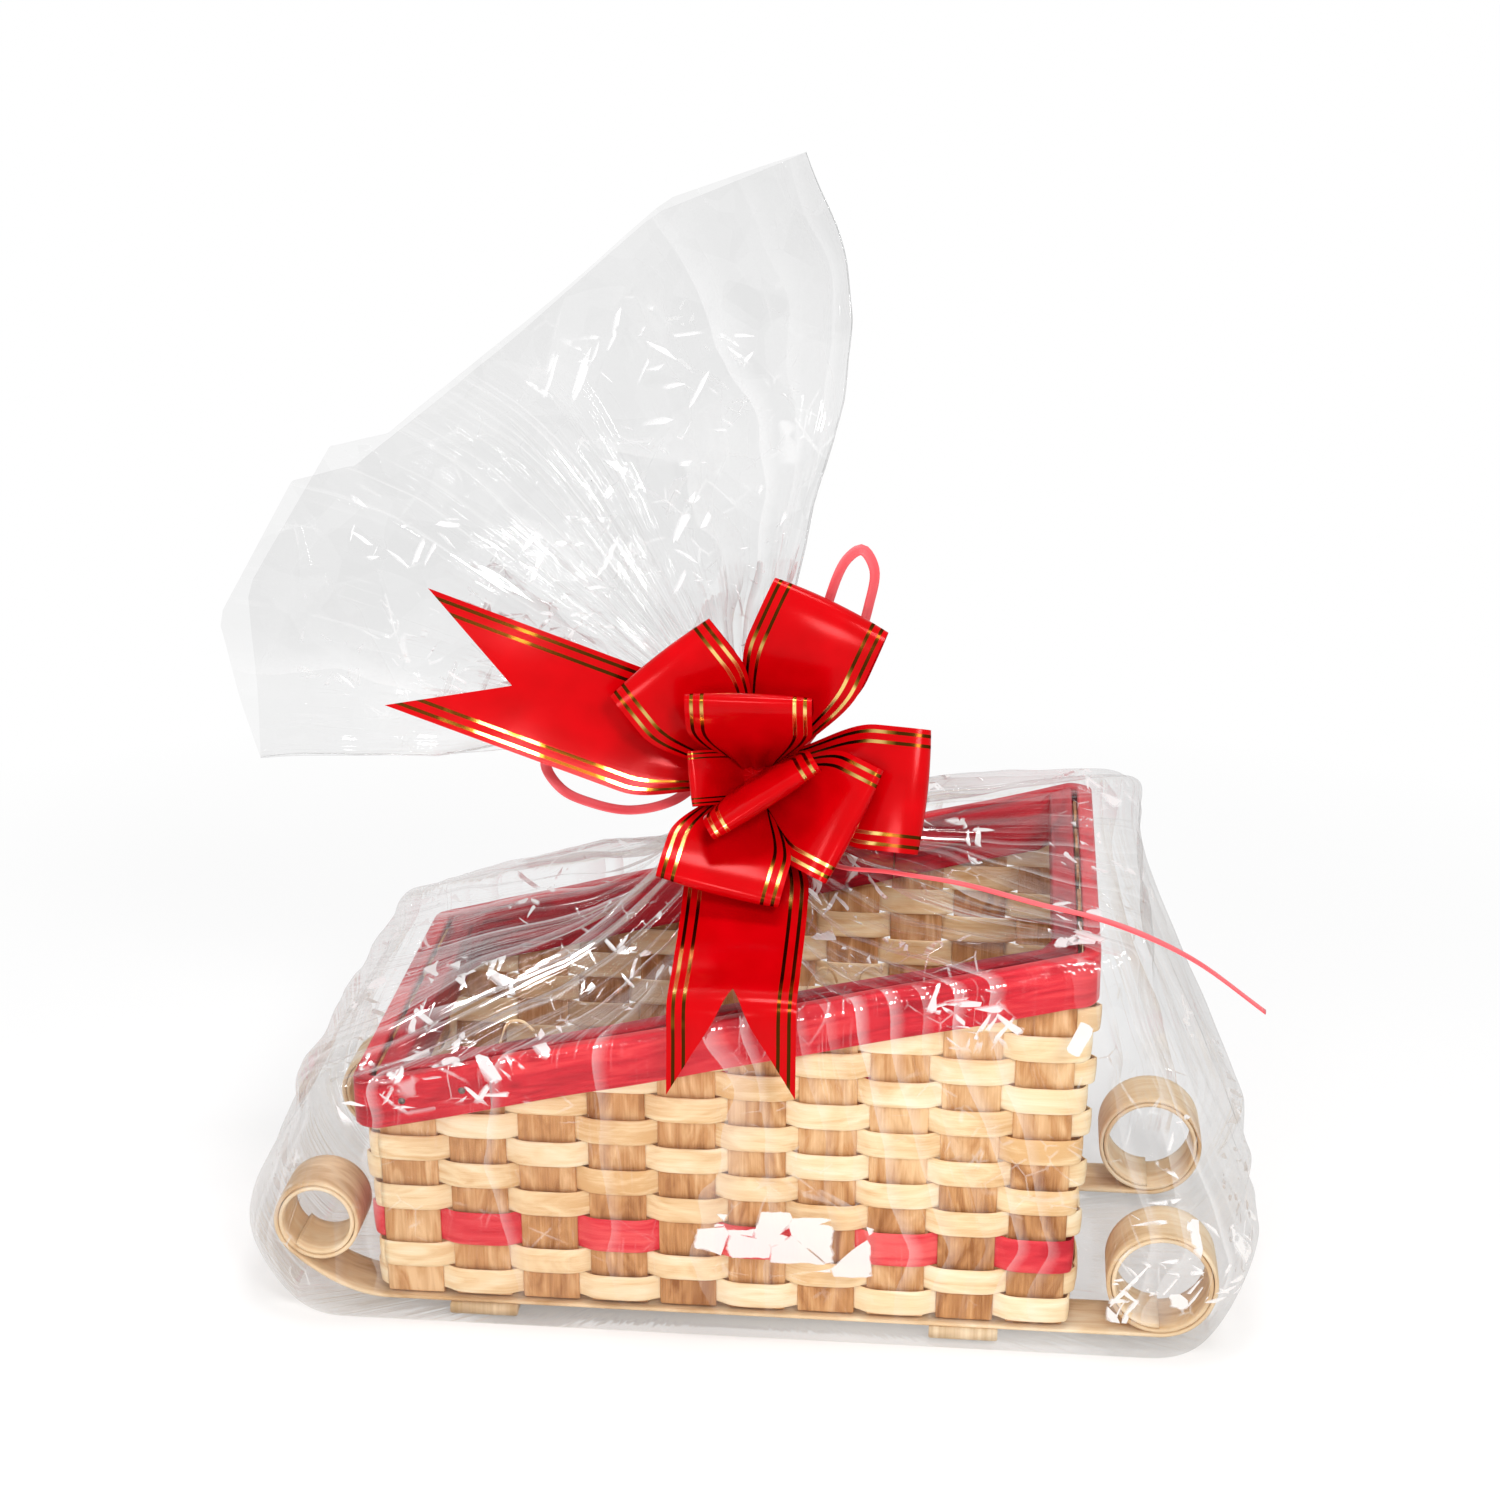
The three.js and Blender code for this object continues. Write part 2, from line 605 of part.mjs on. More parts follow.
// The bag: a thin wall, closed under the basket and open at its flared mouth.
function filmBag() {
  const fanShares = [0.16, 0.3, 0.48, 0.66, 0.84, 1];
  const outer = [...bodyRings().map(bodyRingPoints), ...fanShares.map(fanRingPoints)];
  const sides = outer[0].length;
  const inner = outer.map((ring, r) => ring.map((point, s) => {
    const before = outer[Math.max(r - 1, 0)][s];
    const after = outer[Math.min(r + 1, outer.length - 1)][s];
    const round = ring[(s + 1) % sides].clone().sub(ring[(s + sides - 1) % sides]);
    const out = round.cross(after.clone().sub(before)).normalize();
    if (r > 0) return along(point, out, -FILM);
    const level = out.setZ(0).normalize();
    return along(point, level, -FILM).setZ(FILM);
  }));
  const points = [...outer.flat(), ...inner.flat(), vector(0, 0, 0), vector(0, 0, FILM)];
  const innerFirst = outer.length * sides;
  const mouth = (outer.length - 1) * sides;
  const outerMiddle = points.length - 2;
  const innerMiddle = points.length - 1;
  const faces = bandFaces(0, outer.length, sides, false);
  faces.push(...bandFaces(innerFirst, inner.length, sides, false).toReversed());
  for (let side = 0; side < sides; side++) {
    const other = (side + 1) % sides;
    faces.push(outerMiddle, other, side);
    faces.push(innerMiddle, innerFirst + side, innerFirst + other);
    faces.push(mouth + side, mouth + other, innerFirst + mouth + other);
    faces.push(mouth + side, innerFirst + mouth + other, innerFirst + mouth + side);
  }
  return closedGeometry(points, faces);
}

// The bow's own frame: to the right, up its face, and out of its face.
const bowRight = vector(1, 0, 0);
const bowOut = vector(0, -Math.cos(BOW_TILT), Math.sin(BOW_TILT));
const bowUp = vector(0, Math.sin(BOW_TILT), Math.cos(BOW_TILT));
const tieFace = NECK_HALF_DEPTH + GAP + TIE_THICKNESS;
const bowCentre = vector(BOW_X, -(tieFace + GAP + CORE_RADIUS), NECK_Z + 2);

function bowDirection(turn, lean) {
  const flat = bowRight.clone().multiplyScalar(Math.cos(turn)).addScaledVector(bowUp, Math.sin(turn));
  return {
    reach: flat.clone().multiplyScalar(Math.cos(lean)).addScaledVector(bowOut, Math.sin(lean)),
    lift: bowOut.clone().multiplyScalar(Math.cos(lean)).addScaledVector(flat, -Math.sin(lean)),
    across: bowRight.clone().multiplyScalar(-Math.sin(turn)).addScaledVector(bowUp, Math.cos(turn)),
  };
}

function ribbonWidthAt(distance, reach, spread) {
  const share = THREE.MathUtils.smoothstep(distance, CORE_RADIUS, CORE_RADIUS + 0.62 * reach);
  return lerp(ROOT_WIDTH, RIBBON_WIDTH * spread, share);
}

// A loop of ribbon that leaves the gathered middle, turns over at its tip and comes back beside itself.
function bowLoop({ turn, lean, reach, spread = 1 }) {
  const frame = bowDirection(THREE.MathUtils.degToRad(turn), THREE.MathUtils.degToRad(lean));
  const steps = 18;
  const opening = 0.42;
  const root = CORE_RADIUS + GAP;
  const rings = [];
  for (let step = 0; step <= steps; step++) {
    const angle = lerp(opening, 2 * Math.PI - opening, step / steps);
    const swing = (1 - Math.cos(angle)) / 2;
    const base = (1 - Math.cos(opening)) / 2;
    const distance = lerp(root, reach, (swing - base) / (1 - base));
    const height = LOOP_HALF_HEIGHT * Math.sin(angle) * Math.sqrt(swing);
    const outwards = ((reach - root) * Math.sin(angle)) / 2 / (1 - base);
    const widening = Math.sin(angle) ** 2 / 4 / Math.sqrt(swing);
    const upwards = LOOP_HALF_HEIGHT * (Math.cos(angle) * Math.sqrt(swing) + widening);
    const rate = vector(outwards, upwards, 0).normalize();
    const out = frame.lift.clone().multiplyScalar(rate.x).addScaledVector(frame.reach, -rate.y);
    const centre = along(along(bowCentre, frame.reach, distance), frame.lift, height);
    const width = ribbonWidthAt(distance, reach, spread);
    rings.push(section(centre, frame.across, width, out, RIBBON_THICKNESS));
  }
  return loft(rings);
}

// A free ribbon tail along a path, gathered at its start and cut to a swallowtail at its end.
function bowTail(route, across) {
  const curve = new THREE.CatmullRomCurve3(route);
  const length = curve.getLength();
  const steps = 14;
  const rings = [];
  for (let step = 0; step <= steps; step++) {
    const share = step / steps;
    const out = curve.getTangentAt(share).cross(across).normalize();
    const width = ribbonWidthAt(CORE_RADIUS + share * length, length * 0.5, 1);
    rings.push(section(curve.getPointAt(share), across, width, out, RIBBON_THICKNESS));
  }
  const end = curve.getPointAt(1);
  const heading = curve.getTangentAt(1);
  const notch = new THREE.Shape();
  notch.moveTo(-NOTCH_DEPTH, 0);
  notch.lineTo(GAP, -RIBBON_WIDTH / 2 + GAP);
  notch.lineTo(GAP, RIBBON_WIDTH / 2 - GAP);
  const depth = RIBBON_WIDTH / 2;
  const wedge = new THREE.ExtrudeGeometry(notch, { depth, bevelEnabled: false });
  wedge.translate(0, 0, -depth / 2);
  const frame = new THREE.Matrix4().makeBasis(heading, across, heading.clone().cross(across));
  wedge.applyMatrix4(frame.setPosition(end));
  return toGeometry(toSolid(loft(rings)).subtract(toSolid(wedge)));
}

function sideTail() {
  const frame = bowDirection(SIDE_TAIL_ANGLE, SIDE_TAIL_LEAN);
  const root = CORE_RADIUS + GAP;
  const shares = [0, 0.3, 0.6, 0.8, 1];
  const wave = [0, 1.5, 2, 1, 0];
  const route = shares.map((share, n) => {
    const point = along(bowCentre, frame.reach, lerp(root, SIDE_TAIL_LENGTH, share));
    return point.addScaledVector(frame.lift, wave[n]);
  });
  return bowTail(route, frame.across.negate());
}

// The front tail runs down over the film's slope and hangs clear of the rim.
function frontTail() {
  const overRim = bodyRings()[4];
  const edgeShare = (BOW_X + RIBBON_WIDTH / 2 - overRim.left) / (overRim.right - overRim.left);
  const edge = vector(BOW_X, -overRim.depth - FILM_CLEARANCE, lerp(overRim.low, overRim.high, edgeShare));
  const between = (shareY, shareZ) => {
    const z = lerp(bowCentre.z, edge.z, shareZ) + FILM_CLEARANCE / 2;
    return vector(BOW_X, lerp(bowCentre.y, edge.y, shareY), z);
  };
  const start = along(bowCentre, vector(0, -0.55, -0.84), CORE_RADIUS + GAP);
  const hang = along(edge, vector(0, 0, -1), FRONT_TAIL_DROP);
  const route = [start, between(0.2, 0.4), between(0.46, 0.72), between(0.8, 0.92), edge, hang];
  route.splice(5, 0, edge.clone().lerp(hang, 0.5));
  return bowTail(route, vector(1, 0, 0));
}

// The tie band round the neck.
function neckTie() {
  const near = [NECK_HALF_WIDTH + GAP, NECK_HALF_DEPTH + GAP];
  const radius = NECK_HALF_DEPTH - NECK_ROUNDING + GAP;
  const inside = roundedRing(near[0], near[1], radius);
  const outside = roundedRing(near[0] + TIE_THICKNESS, near[1] + TIE_THICKNESS, radius + TIE_THICKNESS);
  const low = NECK_Z - TIE_WIDTH / 2;
  const high = NECK_Z + TIE_WIDTH / 2;
  const rings = inside.map(([x, y], n) => [
    vector(x, y, low),
    vector(outside[n][0], outside[n][1], low),
    vector(outside[n][0], outside[n][1], high),
    vector(x, y, high),
  ]);
  return loft(rings, true);
}

// A free stretch of tie ribbon: a flat eight-sided section along its route.
function tieRibbon(route) {
  const curve = new THREE.CatmullRomCurve3(route);
  const flat = new THREE.Shape();
  const sides = 8;
  for (let side = 0; side < sides; side++) {
    const angle = ((side + 0.5) / sides) * 2 * Math.PI;
    const x = (CORD_THICKNESS / 2) * Math.cos(angle);
    const y = (CORD_WIDTH / 2) * Math.sin(angle);
    if (side) flat.lineTo(x, y);
    else flat.moveTo(x, y);
  }
  return new THREE.ExtrudeGeometry(flat, { steps: 24, extrudePath: curve, bevelEnabled: false });
}

// Basket
for (let index = 0; index < CROSS_STAKES; index++) {
  addPart(`cross_stake_${index + 1}`, crossStake(index), "stake");
}
for (let index = 0; index < LONG_STAKES; index++) {
  addPart(`long_stake_${index + 1}`, longStake(index), "stake");
}
for (let row = 1; rowTop(row) <= HIGH_RIM - TOP_ROW_SINK; row++) {
  const name = row === RED_ROW ? `weaver_row_${row}_red` : `weaver_row_${row}`;
  addPart(name, weaver(row), row === RED_ROW ? "redSplint" : "weaver");
}
addPart("rim_outer_band", rimBand(OUTER_SEAM_X, -1, bandOffset, bandOffset + OUTER_BAND), "rim", 0.4);
addPart("rim_inner_band", rimBand(INNER_SEAM_X, 1, -bandOffset, -bandOffset - INNER_BAND), "rim", 0.4);

// Sleigh
addPart("runner_front", runner(-RUNNER_SPREAD / 2), "runner");
addPart("runner_back", runner(RUNNER_SPREAD / 2), "runner");
const battenStakes = { batten_low_end: BATTEN_STAKE, batten_high_end: CROSS_STAKES - 1 - BATTEN_STAKE };
for (const [name, stake] of Object.entries(battenStakes)) {
  const block = new THREE.BoxGeometry(BATTEN_WIDTH, 2 * (runnerEdge + BATTEN_OVERHANG), BATTEN_HEIGHT);
  const batten = addPart(name, block, "batten");
  batten.position.set(crossStakeX(stake), 0, FILM + GAP + BATTEN_HEIGHT / 2);
}

// Wrapping
addPart("film_bag", filmBag(), "film", 0.1);
addPart("neck_tie", neckTie(), "tie", 0.35);
const core = addPart("bow_core", new THREE.SphereGeometry(CORE_RADIUS, 16, 10), "ribbon", 0.3);
core.position.copy(bowCentre);
for (const loop of BOW_LOOPS) addPart(loop.name, bowLoop(loop), "ribbon", 0.3);
addPart("bow_tail_side", sideTail(), "ribbon", 0.3);
addPart("bow_tail_front", frontTail(), "ribbon", 0.3);
const overFilm = ([x, y, share, height]) => vector(x, y, lerp(HIGH_RIM, NECK_Z, share) + height);
const fromNeck = ([x, y, height]) => vector(x, y, NECK_Z + height);
addPart("tie_ribbon_tail", tieRibbon(TAIL_ROUTE.map(overFilm)), "tie", 0.35);
addPart("tie_ribbon_upper_loop", tieRibbon(UPPER_LOOP_ROUTE.map(fromNeck)), "tie", 0.35);
addPart("tie_ribbon_lower_loop", tieRibbon(LOWER_LOOP_ROUTE.map(fromNeck)), "tie", 0.35);

export default group;
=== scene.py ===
# Wicker hamper: a splint basket on curled runners, standing in a tied clear film bag with a pull bow.
# Lengths are in millimetres and turn into metres as each mesh is made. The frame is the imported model's.
import random
from math import cos, pi, radians, sin, sqrt

import bpy
import numpy as np
from mathutils import Matrix


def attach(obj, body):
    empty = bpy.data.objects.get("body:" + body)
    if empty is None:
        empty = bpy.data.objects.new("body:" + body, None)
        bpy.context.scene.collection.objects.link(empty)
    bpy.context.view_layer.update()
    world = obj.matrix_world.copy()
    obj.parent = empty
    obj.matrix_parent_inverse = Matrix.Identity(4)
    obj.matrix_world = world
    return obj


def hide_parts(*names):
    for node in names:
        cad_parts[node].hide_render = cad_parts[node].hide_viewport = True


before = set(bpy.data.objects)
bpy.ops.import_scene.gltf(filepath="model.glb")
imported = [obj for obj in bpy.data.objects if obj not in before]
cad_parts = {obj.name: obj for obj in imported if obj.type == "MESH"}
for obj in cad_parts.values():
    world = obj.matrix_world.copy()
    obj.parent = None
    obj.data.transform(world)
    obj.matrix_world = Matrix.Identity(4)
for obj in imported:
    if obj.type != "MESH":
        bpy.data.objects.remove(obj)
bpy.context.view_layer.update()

chance = random.Random(7)

MM = 0.001

# Basket walls, stakes and rows
HALF_LENGTH = 140.6
HIGH_END_LEAN = -0.012
BASE_HALF_DEPTH = 77.5
LONG_WALL_LEAN = 0.129
CORNER_DEPTH = 8
CORNER_FLARE = 0.05
CORNER_TURNS = (82, 66, 50, 34, 18, 6)
BASE_MIDDLE = 9.25
STAKE_WIDTH = 23
STAKE_THICKNESS = 1.2
STAKE_BEND = 1.8
STAKE_PUSH = 0.3
CROSS_STAKES = 10
LONG_STAKES = 5
CROSSINGS = 2 * (CROSS_STAKES + LONG_STAKES)
STAKE_SINK = 2.5
EDGE_MARGIN = 2.3
WEAVER_WIDTH = 11.5
WEAVER_THICKNESS = 0.9
FIRST_ROW_LIFT = 2
ROW_PITCH_GAP = 0.5
ROW_WIDTH = 11.2
RED_ROW = 3
RED_ROW_WIDTH = 15.2
RED_ROW_OVERLAP = 0.3
ROWS = 13
LEAST_LONG_PASSES = 3
PASS_REACH = 11.75
PASS_OFFSET = 1.4
WEAVE_LIFT = 0.75
OUT_BULGE = 2.9
IN_BULGE = 1.9
HIDDEN_BULGE = 1.3
PASS_CROWN = 0.5
HIDDEN_CROWN = 0.1
CORNER_CROWN = 0.3

# Rim, runners and battens
LOW_RIM = 111
HIGH_RIM = 181
RIM_CLEARANCE = 6
RIM_COVER = 1.5
BAND_HEIGHT = 22
BAND_OFFSET = 2.2
BAND_SOFT = 1.3
BAND_LIP = 1.05
OUTER_BAND = 5.5
INNER_BAND = 8.5
OUTER_SEAM_X = -91
INNER_SEAM_X = 60
SEAM_HALF_GAP = 0.3
RIM_CORNER = 3
LEAST_CORNER = 2
NAIL_XS = (-127, -102.6)
NAIL_DROP = 10.8
NAIL_SIDES = 14
NAIL_RINGS = ((1.5, 0), (1.45, 0.35), (1.0, 0.6), (0.4, 0.72))
RUNNER_WIDTH = 27
RUNNER_THICKNESS = 1.7
RUNNER_SPREAD = 131
RUNNER_MIDDLE = 6.75
HIGH_CURL = (177.6, 23.6)
LOW_CURL = (-167.4, 18.6)
LOW_CURL_LIFT = 14.4
LOW_CURL_START = 228
CURL_GAP = 0.35
BATTEN_WIDTH = 28
BATTEN_HEIGHT = 4.5
BATTEN_BOTTOM = 1.1
BATTEN_REACH = 80

# Film: its ring over the rim as low end, high end, depth, corner and two heights, and its mouth by angle
OVER_RIM = (-165.3, 163.3, 113.4, 22, 117, 187)
NECK_Z = 218
NECK_HALF_WIDTH = 13
NECK_HALF_DEPTH = 11
NECK_CORNER = NECK_HALF_DEPTH - 2
FAN_ROOT_ANGLE = 75
FAN_HALF_DEPTH = 35
MOUTH_CORNERS = ((85, 243), (99, 223), (115.8, 195), (142, 194), (147.5, 211), (166, 219), (184, 204))
FILM_FLOOR = 0.4

# Bow and tie ribbon
RIBBON_WIDTH = 50
CORE_RADIUS = 8
CORE_RINGS = 33
CORE_SIDES = 96
LOOP_ROOT = CORE_RADIUS - 1.5
ROOT_WIDTH = 21
LOOP_HALF_HEIGHT = 8
LOOP_OPENING = 0.42
FOLD_DEPTH = 3.2
NOTCH_DEPTH = 45
BOW_TILT = radians(20)
BOW_GAP = 1.6
TIE_WIDTH = 4.5
NECK_TIE_WIDTH = 6
NECK_TIE_GAP = 0.6

CROSS_EDGE = HALF_LENGTH - EDGE_MARGIN
CROSS_PITCH = (2 * CROSS_EDGE - STAKE_WIDTH) / (CROSS_STAKES - 1)
LONG_PITCH = 2 * (BASE_HALF_DEPTH - CORNER_DEPTH - PASS_REACH) / (LONG_STAKES - 1)


def vec(x, y, z):
    return np.array((x, y, z), float)


def unit(rows):
    return rows / np.linalg.norm(rows, axis=-1, keepdims=True)


def mix(a, b, share):
    return a + (b - a) * share


def ease(share):
    share = np.clip(share, 0, 1)
    return share * share * (3 - 2 * share)


def zigzag(value):
    """A triangle wave between 0 and 1."""
    return np.abs(2 * (value - np.floor(value)) - 1)


def paint(red, green, blue):
    """A shader colour from the usual 0 to 255 numbers."""
    shares = np.array((red, green, blue)) / 255
    linear = np.where(shares <= 0.04045, shares / 12.92, ((shares + 0.055) / 1.055) ** 2.4)
    return (*linear.tolist(), 1)


def put(name, data):
    """A new object in the scene."""
    made = bpy.data.objects.new(name, data)
    bpy.context.collection.objects.link(made)
    return made


def stand(thing, side, top, back, place):
    """Sets a camera or a lamp at a place, with its own three axes."""
    columns = np.column_stack((side, top, back, place))
    thing.matrix_world = Matrix([*columns.tolist(), [0, 0, 0, 1]])


# Camera, at the angle of the photograph
SIGHT = vec(-0.07975, 0.94855, -0.30644)
LEVEL = vec(0.99649, 0.08377, 0)
UPRIGHT = vec(-0.02567, 0.30536, 0.95190)
ROLL = radians(0.658)
CAMERA_PLACE = vec(102.0, -1187.5, 607.7)


def make_camera():
    side = cos(ROLL) * LEVEL + sin(ROLL) * UPRIGHT
    top = -sin(ROLL) * LEVEL + cos(ROLL) * UPRIGHT
    lens = bpy.data.cameras.new("camera")
    lens.lens = 72.85
    lens.sensor_width = 36
    camera = put("camera", lens)
    stand(camera, side, top, -SIGHT, CAMERA_PLACE * MM)
    bpy.context.scene.camera = camera


make_camera()


# Meshes
def add_piece(name, shape, material, slot, *nodes):
    """One object from its points, faces and grain coordinates, in place of the named nodes."""
    points, faces, uvs = shape
    mesh = bpy.data.meshes.new(name)
    mesh.from_pydata((np.asarray(points) * MM).tolist(), [], faces)
    layer = mesh.uv_layers.new(name="grain")
    corners = np.empty(len(mesh.loops), np.int32)
    mesh.loops.foreach_get("vertex_index", corners)
    layer.data.foreach_set("uv", np.asarray(uvs)[corners].astype(np.float32).ravel())
    mesh.polygons.foreach_set("use_smooth", [True] * len(mesh.polygons))
    mesh.materials.append(material)
    piece = put(name, mesh)
    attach(piece, "root")
    if nodes:
        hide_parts(*nodes)
    return piece


def grid_faces(rows, columns, closed):
    """Quads of a grid of points, closed round its columns or open."""
    quads = []
    for here in range(0, (rows - 1) * columns, columns):
        for column in range(columns if closed else columns - 1):
            other = (column + 1) % columns
            quads.append((here + column, here + other, here + columns + other, here + columns + column))
    return quads


def signed_volume(points, quads):
    a, b, c, d = (points[corners] for corners in np.array(quads).T)
    return np.sum(a * np.cross(b, c)) + np.sum(a * np.cross(c, d))


def lengths_along(points):
    steps = np.linalg.norm(np.diff(points, axis=0), axis=1)
    return np.concatenate(([0], np.cumsum(steps)))


def tangents(points):
    return unit(np.gradient(points, axis=0))


def closed_strip(rings, across):
    """The shape of a strip with flat ends, from its rings of section points."""
    count, sides = rings.shape[:2]
    points = rings.reshape(-1, 3)
    faces = grid_faces(count, sides, True)
    turned = signed_volume(points, faces) < 0
    if turned:
        faces = [face[::-1] for face in faces]
    start = tuple(range(sides))
    end = tuple(range((count - 1) * sides, count * sides))
    faces += [start, end[::-1]] if turned else [start[::-1], end]
    along = lengths_along(rings.mean(axis=1)) + chance.uniform(0, 4000)
    shift = chance.uniform(0, 900)
    uvs = np.column_stack((np.repeat(along, sides), np.tile(across + shift, count)))
    return points, faces, uvs


def flat_section(width, thickness, crown=0.0, edge=0.4):
    """Pairs of across and out round the section of a flat strip with softened edges."""
    half = width / 2
    deep = thickness / 2
    soft = min(edge, 0.8 * deep)
    face = np.array((-half + soft, -0.72 * half, -0.36 * half, 0, 0.36 * half, 0.72 * half, half - soft))
    lift = crown * (1 - (face / half) ** 2)
    outer = np.column_stack((face, deep + lift))
    inner = np.column_stack((face, lift - deep))[::-1]
    right = ((half, deep - soft), (half, soft - deep))
    left = ((-half, soft - deep), (-half, deep - soft))
    return np.vstack((outer, right, inner, left))


def sweep(centres, across, outs, section):
    """A strip with one section all along its middle line."""
    across, outs = (np.broadcast_to(way, centres.shape)[:, None] for way in (across, outs))
    rings = centres[:, None] + section[None, :, :1] * across + section[None, :, 1:] * outs
    return closed_strip(rings, section[:, 0])


def smooth_route(points, count):
    """Evenly spaced points on a centripetal curve through the route points."""
    points = np.asarray(points, float)
    padded = np.vstack((2 * points[0] - points[1], points, 2 * points[-1] - points[-2]))
    share = np.linspace(0, 1, 24, endpoint=False)[:, None]
    line = []
    for start in range(len(points) - 1):
        a, b, c, d = padded[start:start + 4]
        before, here, after = (sqrt(np.linalg.norm(q - p)) for p, q in ((a, b), (b, c), (c, d)))
        leave = here * ((b - a) / before - (c - a) / (before + here) + (c - b) / here)
        reach = here * ((c - b) / here - (d - b) / (here + after) + (d - c) / after)
        cube = (2 * b - 2 * c + leave + reach) * share ** 3
        square = (3 * c - 3 * b - 2 * leave - reach) * share ** 2
        line.append(cube + square + leave * share + b)
    line = np.vstack((*line, points[-1]))
    length = lengths_along(line)
    even = np.linspace(0, length[-1], count)
    return np.column_stack([np.interp(even, length, line[:, axis]) for axis in range(3)])


# Materials
def node(owner, kind, inputs=None, **settings):
    """A shader node in its owner's tree, with its settings and with its inputs linked or set."""
    tree = owner.id_data
    made = tree.nodes.new("ShaderNode" + kind)
    for key, value in settings.items():
        setattr(made, key, value)
    for key, value in (inputs or {}).items():
        if isinstance(value, bpy.types.NodeSocket):
            tree.links.new(value, made.inputs[key])
        else:
            made.inputs[key].default_value = value
    return made


def new_material(name):
    material = bpy.data.materials.new(name)
    material.use_nodes = True
    tree = material.node_tree
    tree.nodes.clear()
    return material, tree


def cover(material, tree, shader):
    """The material, with the shader as its surface."""
    node(tree, "OutputMaterial", {"Surface": shader.outputs[0]})
    return material


def calc(operation, first, *others):
    """The first value, taken through one kind of arithmetic step with each of the others."""
    for other in others:
        first = node(first, "Math", {0: first, 1: other}, operation=operation).outputs[0]
    return first


def times(*values):
    return calc("MULTIPLY", *values)


def plus(*values):
    return calc("ADD", *values)


def most(*values):
    return calc("MAXIMUM", *values)


def size_of(value):
    """A value without its sign."""
    return calc("ABSOLUTE", value, 0.0)


def spread(value, low, high, start=0.0, end=1.0):
    limits = {"Value": value, "From Min": low, "From Max": high, "To Min": start, "To Max": end}
    return node(value, "MapRange", limits).outputs["Result"]


def ramp(value, *stops):
    """A colour for a value, from pairs of place and colour."""
    made = node(value, "ValToRGB", {"Fac": value})
    elements = made.color_ramp.elements
    while len(elements) < len(stops):
        elements.new(0.5)
    for element, (place, colour) in zip(elements, stops):
        element.position = place
        element.color = paint(*colour)
    return made.outputs["Color"]


def blend(share, first, second, **settings):
    """A colour between two, as a share of the second."""
    colours = {0: share, 6: first, 7: second}
    return node(share, "Mix", colours, data_type="RGBA", **settings).outputs[2]


def layered(share, under, over):
    """Two shaders, with a share of the second over the first."""
    return node(under, "MixShader", {"Fac": share, 1: under.outputs[0], 2: over.outputs[0]})


def axes(vector):
    return node(vector, "SeparateXYZ", {"Vector": vector}).outputs


def object_place(tree):
    return node(tree, "TexCoord").outputs["Object"]


def grain_place(tree):
    return node(tree, "UVMap", uv_map="grain").outputs["UV"]


def noise(place, scale, detail=2.0, warp=0.0, output="Fac"):
    shape = {"Vector": place, "Scale": scale, "Detail": detail, "Distortion": warp}
    return node(place, "TexNoise", shape).outputs[output]


def grain_noise(tree, along, across, detail=2.0, warp=0.0):
    """Noise drawn out along the piece's own length."""
    scaled = node(tree, "Mapping", {"Vector": grain_place(tree), "Scale": (along, across, 1)})
    return noise(scaled.outputs["Vector"], 1.0, detail, warp)


def bumps(height, strength, distance):
    shape = {"Height": height, "Strength": strength, "Distance": distance}
    return node(height, "Bump", shape).outputs["Normal"]


def principled(made, **inputs):
    """A new material with one all-purpose shader, whose inputs are given by their own names."""
    material, tree = made
    named = {key.replace("_", " "): value for key, value in inputs.items()}
    return cover(material, tree, node(tree, "BsdfPrincipled", named))


def wood(name, dark, middle, pale, roughness, shine=0.2, relief=0.3):
    """Split wood with streaks along the grain and a tone that drifts from piece to piece."""
    made = new_material(name)
    figure = grain_noise(made[1], 0.03, 0.11, 3.0, 1.5)
    fine = grain_noise(made[1], 0.03, 1.3, 3.0, 0.4)
    drift = grain_noise(made[1], 0.011, 0.006, 1.0)
    tone = spread(plus(times(figure, 0.44), times(fine, 0.14), times(drift, 0.42)), 0.37, 0.63)
    return principled(
        made,
        Base_Color=ramp(tone, (0, dark), (0.5, middle), (1, pale)),
        Roughness=roughness,
        Specular_IOR_Level=shine,
        Normal=bumps(fine, relief, 0.0004),
    )


# Places of the gold lines as shares of the ribbon's width from its middle, and half a line's width
GOLD_LINES = (0.447, 0.365)
GOLD_HALF_WIDTH = 0.015


def ribbon(name):
    """Red satin ribbon with two thin gold lines along each edge, whose glints and dark reflections are
    painted.
    """
    made = new_material(name)
    tree = made[1]
    edge = size_of(axes(grain_place(tree))["Y"])
    lines = [size_of(calc("SUBTRACT", edge, place)) for place in GOLD_LINES]
    gold = most(*(spread(away, GOLD_HALF_WIDTH, 0.0125) for away in lines))
    red = ramp(grain_noise(tree, 0.05, 3.0), (0.3, (178, 0, 4)), (0.7, (194, 0, 8)))
    # The gold lines carry painted light: a dark brown base stands for mirroring a dark room, and bright
    # gold patches along the ribbon are painted glints
    painted_foil_glints = spread(grain_noise(tree, 0.035, 0.6, 1.0), 0.53, 0.63)
    foil_painted_light = ramp(painted_foil_glints, (0, (74, 40, 8)), (0.6, (150, 104, 34)), (1, (250, 214, 130)))
    return principled(
        made,
        Base_Color=blend(gold, red, foil_painted_light),
        Metallic=gold,
        Roughness=spread(gold, 0.0, 1.0, 0.16, 0.2),
        Specular_IOR_Level=0.3,
        Specular_Tint=(1, 0.24, 0.24, 1),
        Normal=bumps(grain_noise(tree, 0.02, 160.0, 1.0), 0.05, 0.0003),
    )


def plain_ribbon(name):
    """Narrow satin ribbon of a lighter red with fine ribs along it."""
    made = new_material(name)
    drift = grain_noise(made[1], 0.04, 0.4)
    return principled(
        made,
        Base_Color=ramp(drift, (0.3, (226, 70, 78)), (0.7, (238, 96, 102))),
        Roughness=0.38,
        Normal=bumps(grain_noise(made[1], 0.01, 6.0, 1.0), 0.2, 0.0003),
    )


